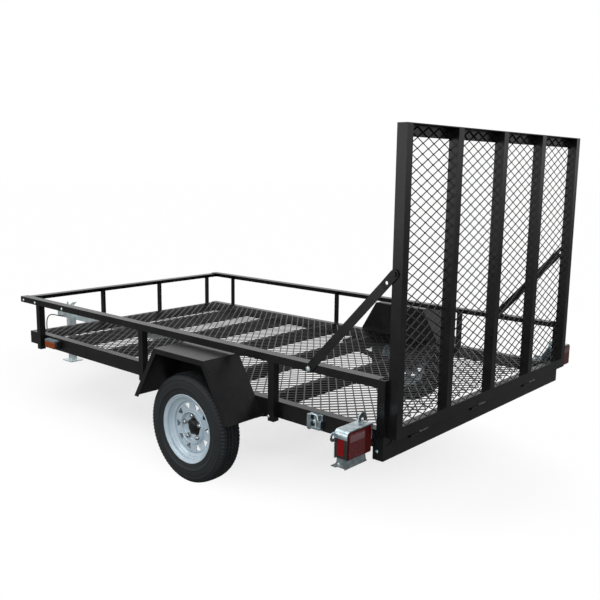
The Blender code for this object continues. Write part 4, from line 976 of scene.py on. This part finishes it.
def disc_shape():
    """The pressed disc: a ring of triangular holes, a round crest and five stud cups within it.

    The grid runs from the rim to the centre hole and round the wheel. In each of ten sectors the
    lines beside a hole draw in to its half width at that radius, the cells between them are left
    out, and walls join the front to the back. The front's offset is the pressed profile's plus a
    round bump over each stud, and near the centre the radius swells towards each stud by a cosine.
    """
    profile = np.array(
        (
            # radius, offset
            (0.1290, 0.0070),
            (0.1262, 0.0112),
            (0.1230, 0.0136),
            (0.1155, 0.0138),
            (0.1140, 0.0137),
            (0.1085, 0.0132),
            (0.1030, 0.0126),
            (0.0975, 0.0120),
            (0.0920, 0.0115),
            (0.0870, 0.0110),
            (0.0850, 0.0109),
            (0.0830, 0.0118),
            (0.0815, 0.0146),
            (0.0800, 0.0188),
            (0.0787, 0.0222),
            (0.0772, 0.0244),
            (0.0755, 0.0251),
            (0.0737, 0.0243),
            (0.0722, 0.0214),
            (0.0708, 0.0170),
            (0.0695, 0.0125),
            (0.0682, 0.0090),
            (0.0665, 0.0074),
            (0.0640, 0.0070),
            (0.0610, 0.0070),
            (0.0571, 0.0070),
            (0.0530, 0.0070),
            (0.0495, 0.0068),
            (0.0465, 0.0062),
            (0.0445, 0.0052),
            (0.0430, 0.0040),
        )
    )
    radius, offset = profile[:, 0], profile[:, 1]
    first_hole, last_hole = 3, 9
    web_cells, hole_cells = 4, 6
    per_sector = 2 * web_cells + hole_cells
    share = np.concatenate(
        (
            np.linspace(-1, -0.5, web_cells, endpoint=False),
            np.linspace(-0.5, 0.5, hole_cells, endpoint=False),
            np.linspace(0.5, 1, web_cells, endpoint=False),
        )
    )
    sector = math.pi / HOLE_SECTORS
    half_hole = np.full(len(radius), sector / 2)
    across = radius[first_hole : last_hole + 1]
    depth = (across - across[-1]) / (across[0] - across[-1])
    reach = HOLE_POINT + HOLE_SPREAD * depth
    reach[0] *= HOLE_CORNER_SHARE
    half_hole[first_hole : last_hole + 1] = reach / radius[first_hole : last_hole + 1]
    inner = np.clip(share, -0.5, 0.5) * 2
    outer = np.clip(np.abs(share) - 0.5, 0, 0.5) * 2 * np.sign(share)
    bend = inner * half_hole[:, None] + outer * (sector - half_hole[:, None])
    centres = STUD_TURN + sector + np.arange(HOLE_SECTORS) * 2 * sector
    angle = (centres[None, :, None] + bend[:, None, :]).reshape(len(radius), -1)
    lobe = CENTRE_LOBE * np.clip((LOBE_RADIUS - radius) / LOBE_FADE, 0, 1)
    reached = radius[:, None] + lobe[:, None] * np.cos(STUD_COUNT * (angle - STUD_TURN))
    x, z = reached * np.cos(angle), reached * np.sin(angle)
    front = np.broadcast_to(offset[:, None], x.shape).copy()
    for k in range(STUD_COUNT):
        turn = STUD_TURN + k * math.tau / STUD_COUNT
        away = np.hypot(x - STUD_CIRCLE * math.cos(turn), z - STUD_CIRCLE * math.sin(turn))
        rise = np.clip((CUP_RADIUS - away) / (CUP_RADIUS - CUP_FLAT_RADIUS), 0, 1)
        front = np.maximum(front, offset[:, None] + CUP_RISE * rise * rise * (3 - 2 * rise))
    points = np.concatenate((np.stack((x, front, z), -1), np.stack((x, front - RIM_GAUGE, z), -1)))
    rows, columns = x.shape
    row = np.arange(rows - 1)[:, None]
    column = np.arange(columns)[None, :]
    beside = (column + 1) % columns
    in_hole = (column % per_sector >= web_cells) & (column % per_sector < web_cells + hole_cells)
    present = ~(in_hole & (row >= first_hole) & (row < last_hole))
    index = row * columns + column
    across_cell = row * columns + beside
    cell = np.stack((index, across_cell, across_cell + columns, index + columns), -1)
    back = rows * columns
    faces = cell[present].tolist() + (cell[present][:, ::-1] + back).tolist()
    beyond = np.concatenate((np.zeros((1, columns), bool), present, np.zeros((1, columns), bool)))

    def walls(start, end, sides):
        """Quads from the front to the back along a line's edges, for each (which, flipped)."""
        wall = np.stack((start, end, end + back, start + back), -1)
        found = []
        for which, flipped in sides:
            found += (wall[which][:, ::-1] if flipped else wall[which]).tolist()
        return found

    for line in range(rows):
        above, below = beyond[line], beyond[line + 1]
        start = line * columns + np.arange(columns)
        end = line * columns + (np.arange(columns) + 1) % columns
        faces += walls(start, end, ((above & ~below, False), (~above & below, True)))
    for line in range(columns):
        before = present[:, (line - 1) % columns]
        after = present[:, line]
        start = np.arange(rows - 1) * columns + line
        faces += walls(start, start + columns, ((before & ~after, True), (~before & after, False)))
    return points.reshape(-1, 3), faces


def hex_nut(radius, length):
    """A flanged hexagon nut along Y: a six sided barrel with a chamfered top and a stud's end."""
    wide = radius * NUT_FLANGE_SHARE
    flange = ((wide, 0), (wide, NUT_FLANGE), (radius * NUT_COLLAR_SHARE, NUT_COLLAR))
    barrel = ((radius, NUT_SUNK), (radius, length - NUT_CHAMFER), (radius * NUT_TOP_SHARE, length))
    tip = length + STUD_PROUD
    stud = (
        (radius * STUD_SHARE, length - NUT_SUNK),
        (radius * STUD_SHARE, tip),
        (radius * STUD_TIP_SHARE, tip + STUD_CHAMFER),
    )
    return join(
        (
            turned_solid(flange, NUT_FLANGE_STEPS),
            turned_solid(barrel, NUT_SIDES),
            turned_solid(stud, STUD_STEPS),
        )
    )


def rims():
    """Each wheel's barrel and disc as one enamelled piece, with its hub and its nuts."""
    rim = join((barrel_shape(), disc_shape()))
    hub_profile = (
        # radius, offset
        (0.0140, -0.0560),
        (0.0380, -0.0560),
        (0.0394, -0.0070),
        (0.0715, -0.0070),
        (0.0715, 0.0030),
        (0.0394, 0.0032),
        (0.0385, 0.0050),
        (0.0330, 0.0110),
        (0.0312, 0.0128),
        (0.0290, 0.0150),
        (0.0235, 0.0175),
        (0.0120, 0.0190),
        (0.0020, 0.0190),
    )
    hub = turned_solid(hub_profile, HUB_STEPS)
    nut = hex_nut(NUT_RADIUS, NUT_LENGTH)
    turn = STUD_TURN + np.arange(STUD_COUNT) * math.tau / STUD_COUNT
    face = SEAT_OFFSET + CUP_RISE
    away, up = STUD_CIRCLE * np.cos(turn), STUD_CIRCLE * np.sin(turn)
    places = np.stack((away, np.full(STUD_COUNT, face), up), -1)
    nuts = join([(nut[0] + place, nut[1]) for place in places])
    for side_name, side in (("left", 1), ("right", -1)):
        centre = wheel_place(side_name)
        body = f"wheel_{side_name}"
        rows = (
            ("rim_enamelled", rim, rim_enamel, "rim_paint", [f"rim_{side_name}"]),
            ("hub_turned", hub, powder_coat, "paint", [f"hub_{side_name}"]),
            ("lug_nuts", nuts, nut_chrome, "zinc", []),
        )
        for word, shape, finish, slot, replaced in rows:
            points, faces = shape if side > 0 else mirror(shape)
            placed = (points + centre, faces)
            name = f"{word}_{side_name}"
            add_piece(name, placed, finish, body, replaced, smooth_angle=35)


def paired(rows, node):
    """Left and mirrored right pieces of the chassis, the first row standing for the node."""
    for word, shapes, finish, slot, stands_for in rows:
        shape = join(shapes)
        for side_name, drawn in (("left", shape), ("right", mirror(shape))):
            replaced = [f"{node}_{side_name}"] if stands_for else []
            add_piece(f"{word}_{side_name}", drawn, finish, "chassis", replaced)


def tail_lamps():
    """Each tail lamp: its housing, red lens, duller half, pink panel and side reflector."""
    low, high = (np.array(corner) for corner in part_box("tail_lamp_left"))
    rear, width = low[0], high[1] - low[1]
    small = LAMP_CORNER

    def face(inset):
        """The lamp's outline, moved in."""
        return oblong(low[1:] + inset, high[1:] - inset, small, LAMP_FAR_CORNER)

    housing = slab(face(HOUSING_INSET), rear + HOUSING_START, high[0], HOUSING_BEVEL)
    bezel = slab(face(0.0), rear + BEZEL_START, rear + BEZEL_END, HOUSING_BEVEL)
    lens = slab(face(LENS_INSET), rear + LENS_START, rear + LENS_END, LENS_BEVEL)
    left = high[1] - PANEL_INSET
    panel = oblong(
        (left - PANEL_SHARE * width, high[2] - PANEL_DROP),
        (left, high[2] - PANEL_INSET),
        small,
        PANEL_FAR_CORNER,
    )
    dull = oblong(
        (high[1] - DULL_SIDE - DULL_SHARE * width, low[2] + DULL_INSET),
        (high[1] - DULL_INSET, high[2] - DULL_INSET),
        small,
        DULL_FAR_CORNER,
    )
    middle = (rear + BEZEL_END + high[0]) / 2
    side = oblong(
        (low[2] + REFLECTOR_LOWER_INSET, middle - REFLECTOR_REACH),
        (high[2] - REFLECTOR_UPPER_INSET, middle + REFLECTOR_REACH),
        small / 2,
        small / 2,
    )
    panel = slab(panel, rear, rear + SHEET_END, SHEET_BEVEL)
    dull = slab(dull, rear + DULL_START, rear + SHEET_END, SHEET_BEVEL)
    reflector = slab(side, high[1] - REFLECTOR_THICK, high[1], REFLECTOR_BEVEL, axis=1)
    rows = (
        # piece, shapes, finish, slot, whether it stands for the node
        ("lamp_housing", [housing, bezel], black_housing_and_slot_shade, "lens_red", True),
        ("lamp_lens", [lens], red_lens, "lens_red", False),
        ("lamp_dull_lens", [dull], dull_lens, "lens_red", False),
        ("lamp_panel", [panel], pink_lens, "lens_red", False),
        ("lamp_reflector", [reflector], reflector_lens, "lens_red", False),
    )
    paired(rows, "tail_lamp")


def marker_lamps():
    """Each side marker: a grey top, an amber lens and a black block at its rear end."""
    low, high = (np.array(corner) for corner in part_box("marker_lamp_left"))
    split = low[0] + MARKER_END_SHARE * (high[0] - low[0])
    top = high[2] - MARKER_COVER
    cover = block(
        (split + MARKER_STEP, low[1], top),
        (high[0], high[1] - MARKER_STEP, high[2]),
        MARKER_ROUND,
    )
    lens = block(
        (split, low[1], low[2]),
        (high[0] - MARKER_STEP, high[1], top + MARKER_LAP),
        MARKER_ROUND,
    )
    end = block(
        (low[0], low[1], low[2] + MARKER_LAP),
        (split + MARKER_END_LAP, high[1] - MARKER_END_INSET, high[2] - MARKER_LAP),
        MARKER_END_ROUND,
    )
    rows = (
        # piece, shapes, finish, slot, whether it stands for the node
        ("marker_lens", [lens], amber_lens, "lens_amber", True),
        ("marker_cover", [cover], grey_housing, "lens_amber", False),
        ("marker_end", [end], black_housing_and_slot_shade, "lens_amber", False),
    )
    paired(rows, "marker_lamp")


def latch():
    """The latch plate: wings and a foot on a back plate, painted shade in two slots, a bar, bolts
    and a hook.
    """
    low, high = (np.array(corner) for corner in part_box("latch_plate"))
    run, rise = high[0] - low[0], high[2] - low[2]

    def spot(along, up):
        """A station and a height by their shares of the plate's length and height."""
        return low[0] + along * run, low[2] + up * rise

    def wing(start, end, behind, corner):
        """A plate between two spots, from the back of the latch to some way behind its face."""
        (rear, bottom), (front, top) = spot(*start), spot(*end)
        outline = rounded(
            (
                (bottom, rear, corner),
                (top, rear, LATCH_UPPER_CORNER),
                (top, front, LATCH_UPPER_CORNER),
                (bottom, front, corner),
            )
        )
        return slab(outline, low[1], high[1] - behind, LATCH_BEVEL, axis=1)

    channel = [wing(*row) for row in LATCH_CHANNEL]
    # Black sheets in the slots: painted shade
    slots = [wing(*row) for row in LATCH_SLOT_SHADES]
    bar = wing(*LATCH_BAR)
    hook = np.array([spot(*share) for share in LATCH_HOOK])
    outside = np.full(len(hook), high[1] - LATCH_ROD_RADIUS)
    path = np.stack((hook[:, 0], outside, hook[:, 1]), -1)
    rod = bent_rod(path, (0, 1, 0), LATCH_ROD_RADIUS)
    heads = []
    for along, up, radius, behind in LATCH_BOLTS:
        station, height = spot(along, up)
        points, faces = domed_bolt(radius, LATCH_BOLT_HEIGHT)
        heads.append((points + (station, high[1] - LATCH_BOLT_HEIGHT - behind, height), faces))
    add_piece("latch_channel", join(channel), zinc_plate, "chassis", ["latch_plate"])
    add_piece("latch_pin", join([rod, bar] + heads), bright_zinc, "chassis")
    # The slots' black sheets are painted shade
    add_piece("latch_slot_shadow", join(slots), black_housing_and_slot_shade, "chassis")


def hinge_pins():
    """The tails of the gate's three hinge pins, worn bare and lightened as painted highlight, each
    a rod along Y.
    """
    profile = (
        (PIN_RADIUS, 0.0),
        (PIN_RADIUS, PIN_TAIL - PIN_CHAMFER),
        (PIN_RADIUS - PIN_CHAMFER, PIN_TAIL),
    )
    points, faces = turned_solid(profile, PIN_STEPS)
    drawn = []
    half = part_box("gate_frame")[1][1]
    for share in PIN_SHARES:
        low = share * half - PIN_START - PIN_TAIL
        drawn.append((points + (PIN_STATION - STATION_ORIGIN, low, PIN_HEIGHT), faces))
    add_piece("hinge_pin_tails", join(drawn), worn_steel_and_highlight, "chassis")


def bolts():
    """Zinc bolts: the railing's, the rail's, the post's, the lamp bracket's and the stay's."""
    heads = []
    for place, radius, height in BOLTS:
        points, faces = domed_bolt(radius, height)
        heads.append((points + place - (STATION_ORIGIN, 0, 0), faces))
    left = join(heads)
    add_piece("zinc_bolts", join((left, mirror(left))), bright_zinc, "chassis")
    points, faces = domed_bolt(STAY_BOLT_RADIUS, STAY_BOLT_HEIGHT)
    left = (points + (np.array(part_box("stay_left")[1]) - STAY_BOLT_INSET), faces)
    for side_name, head in (("left", left), ("right", mirror(left))):
        add_piece(f"stay_bolt_{side_name}", head, bright_zinc, f"stay_{side_name}")


def stage():
    """A pale floor that keeps the shadow.

    The floor glows white for the camera by a share that grows with the distance from its middle,
    measured in half lengths of an oval, so the floor is greyer under the trailer as painted shade,
    the shadow shows there, and both fade beyond it.
    """
    made, tree = new_material("pale_floor")
    path = add_node(tree, "ShaderNodeLightPath")
    tone = add_node(
        tree,
        "ShaderNodeMix",
        {
            MIX_FACTOR: path.outputs["Is Camera Ray"],
            MIX_FIRST: linear(FLOOR_BOUNCED),
            MIX_SECOND: linear(FLOOR_WHITE),
        },
        data_type="RGBA",
    )
    matt = add_node(tree, "ShaderNodeBsdfDiffuse", {"Color": tone.outputs[2]})
    glow = add_node(tree, "ShaderNodeEmission", {"Color": (1, 1, 1, 1), "Strength": 1.0})
    place = add_node(tree, "ShaderNodeTexCoord").outputs["Object"]
    scaled = add_node(
        tree, "ShaderNodeVectorMath", {0: place, 1: FLOOR_SHADE_REACH}, operation="DIVIDE"
    )
    away = add_node(tree, "ShaderNodeVectorMath", {0: scaled.outputs["Vector"]}, operation="LENGTH")
    # Less glow within the oval: painted shade round and under the trailer
    share = add_node(
        tree,
        "ShaderNodeMapRange",
        {
            "Value": away.outputs["Value"],
            "From Min": FLOOR_SHADE_START,
            "From Max": FLOOR_SHADE_END,
            "To Min": FLOOR_GLOW_INSIDE,
            "To Max": FLOOR_GLOW_OUTSIDE,
        },
    )
    seen = add_node(
        tree,
        "ShaderNodeMath",
        {0: path.outputs["Is Camera Ray"], 1: share.outputs["Result"]},
        operation="MULTIPLY",
    )
    mixed = add_node(
        tree, "ShaderNodeMixShader", {0: seen.outputs[0], 1: matt.outputs[0], 2: glow.outputs[0]}
    )
    add_node(tree, "ShaderNodeOutputMaterial", {"Surface": mixed.outputs[0]})
    corner = np.array(((-1, -1), (1, -1), (1, 1), (-1, 1))) * FLOOR_HALF
    points = np.column_stack((corner, np.full(len(corner), -FLOOR_DROP)))
    mesh = bpy.data.meshes.new("floor")
    mesh.from_pydata(points.tolist(), [], [(0, 1, 2, 3)])
    mesh.materials.append(made)
    floor = bpy.data.objects.new("floor", mesh)
    bpy.context.scene.collection.objects.link(floor)


def surround():
    """A world that is plain white where it is seen or reflected, and dimmer as a light."""
    world = bpy.data.worlds.new("white_surround")
    world.use_nodes = True
    tree = world.node_tree
    tree.nodes.clear()
    path = add_node(tree, "ShaderNodeLightPath")
    seen = path.outputs["Is Camera Ray"]
    for ray in ("Is Glossy Ray", "Is Transmission Ray"):
        either = add_node(
            tree, "ShaderNodeMath", {0: seen, 1: path.outputs[ray]}, operation="MAXIMUM"
        )
        seen = either.outputs[0]
    white = (1, 1, 1, 1)
    dim = add_node(tree, "ShaderNodeBackground", {"Color": white, "Strength": WORLD_LIGHT})
    full = add_node(tree, "ShaderNodeBackground", {"Color": white, "Strength": 1.0})
    mixed = add_node(
        tree, "ShaderNodeMixShader", {0: seen, 1: dim.outputs[0], 2: full.outputs[0]}
    )
    add_node(tree, "ShaderNodeOutputWorld", {"Surface": mixed.outputs[0]})
    bpy.context.scene.world = world


def lamps():
    """Soft studio lamps: a broad one overhead, one behind the camera and a fill from its left."""
    rows = (
        # name, place, aim, size, watts
        ("overhead", (-0.5, 1.0, 4.5), (0.0, 0.0, 0.4), 4.0, 112.0),
        ("key", (-5.0, 4.5, 3.2), (-0.6, 0.4, 0.5), 2.5, 110.0),
        ("fill", (1.5, 5.5, 1.6), (0.6, 0.4, 0.4), 2.5, 50.0),
    )
    for name, place, aim, size, watts in rows:
        data = bpy.data.lights.new(name, "AREA")
        data.size = size
        data.energy = watts
        made = bpy.data.objects.new(name, data)
        bpy.context.scene.collection.objects.link(made)
        turn = (Vector(aim) - Vector(place)).to_track_quat("-Z", "Y")
        made.matrix_world = Matrix.Translation(place) @ turn.to_matrix().to_4x4()


camera()
wiring_lead()
expanded_metal()
tyres()
rims()
tail_lamps()
marker_lamps()
latch()
hinge_pins()
bolts()
stage()
surround()
lamps()
bpy.context.scene.view_settings.view_transform = "Standard"
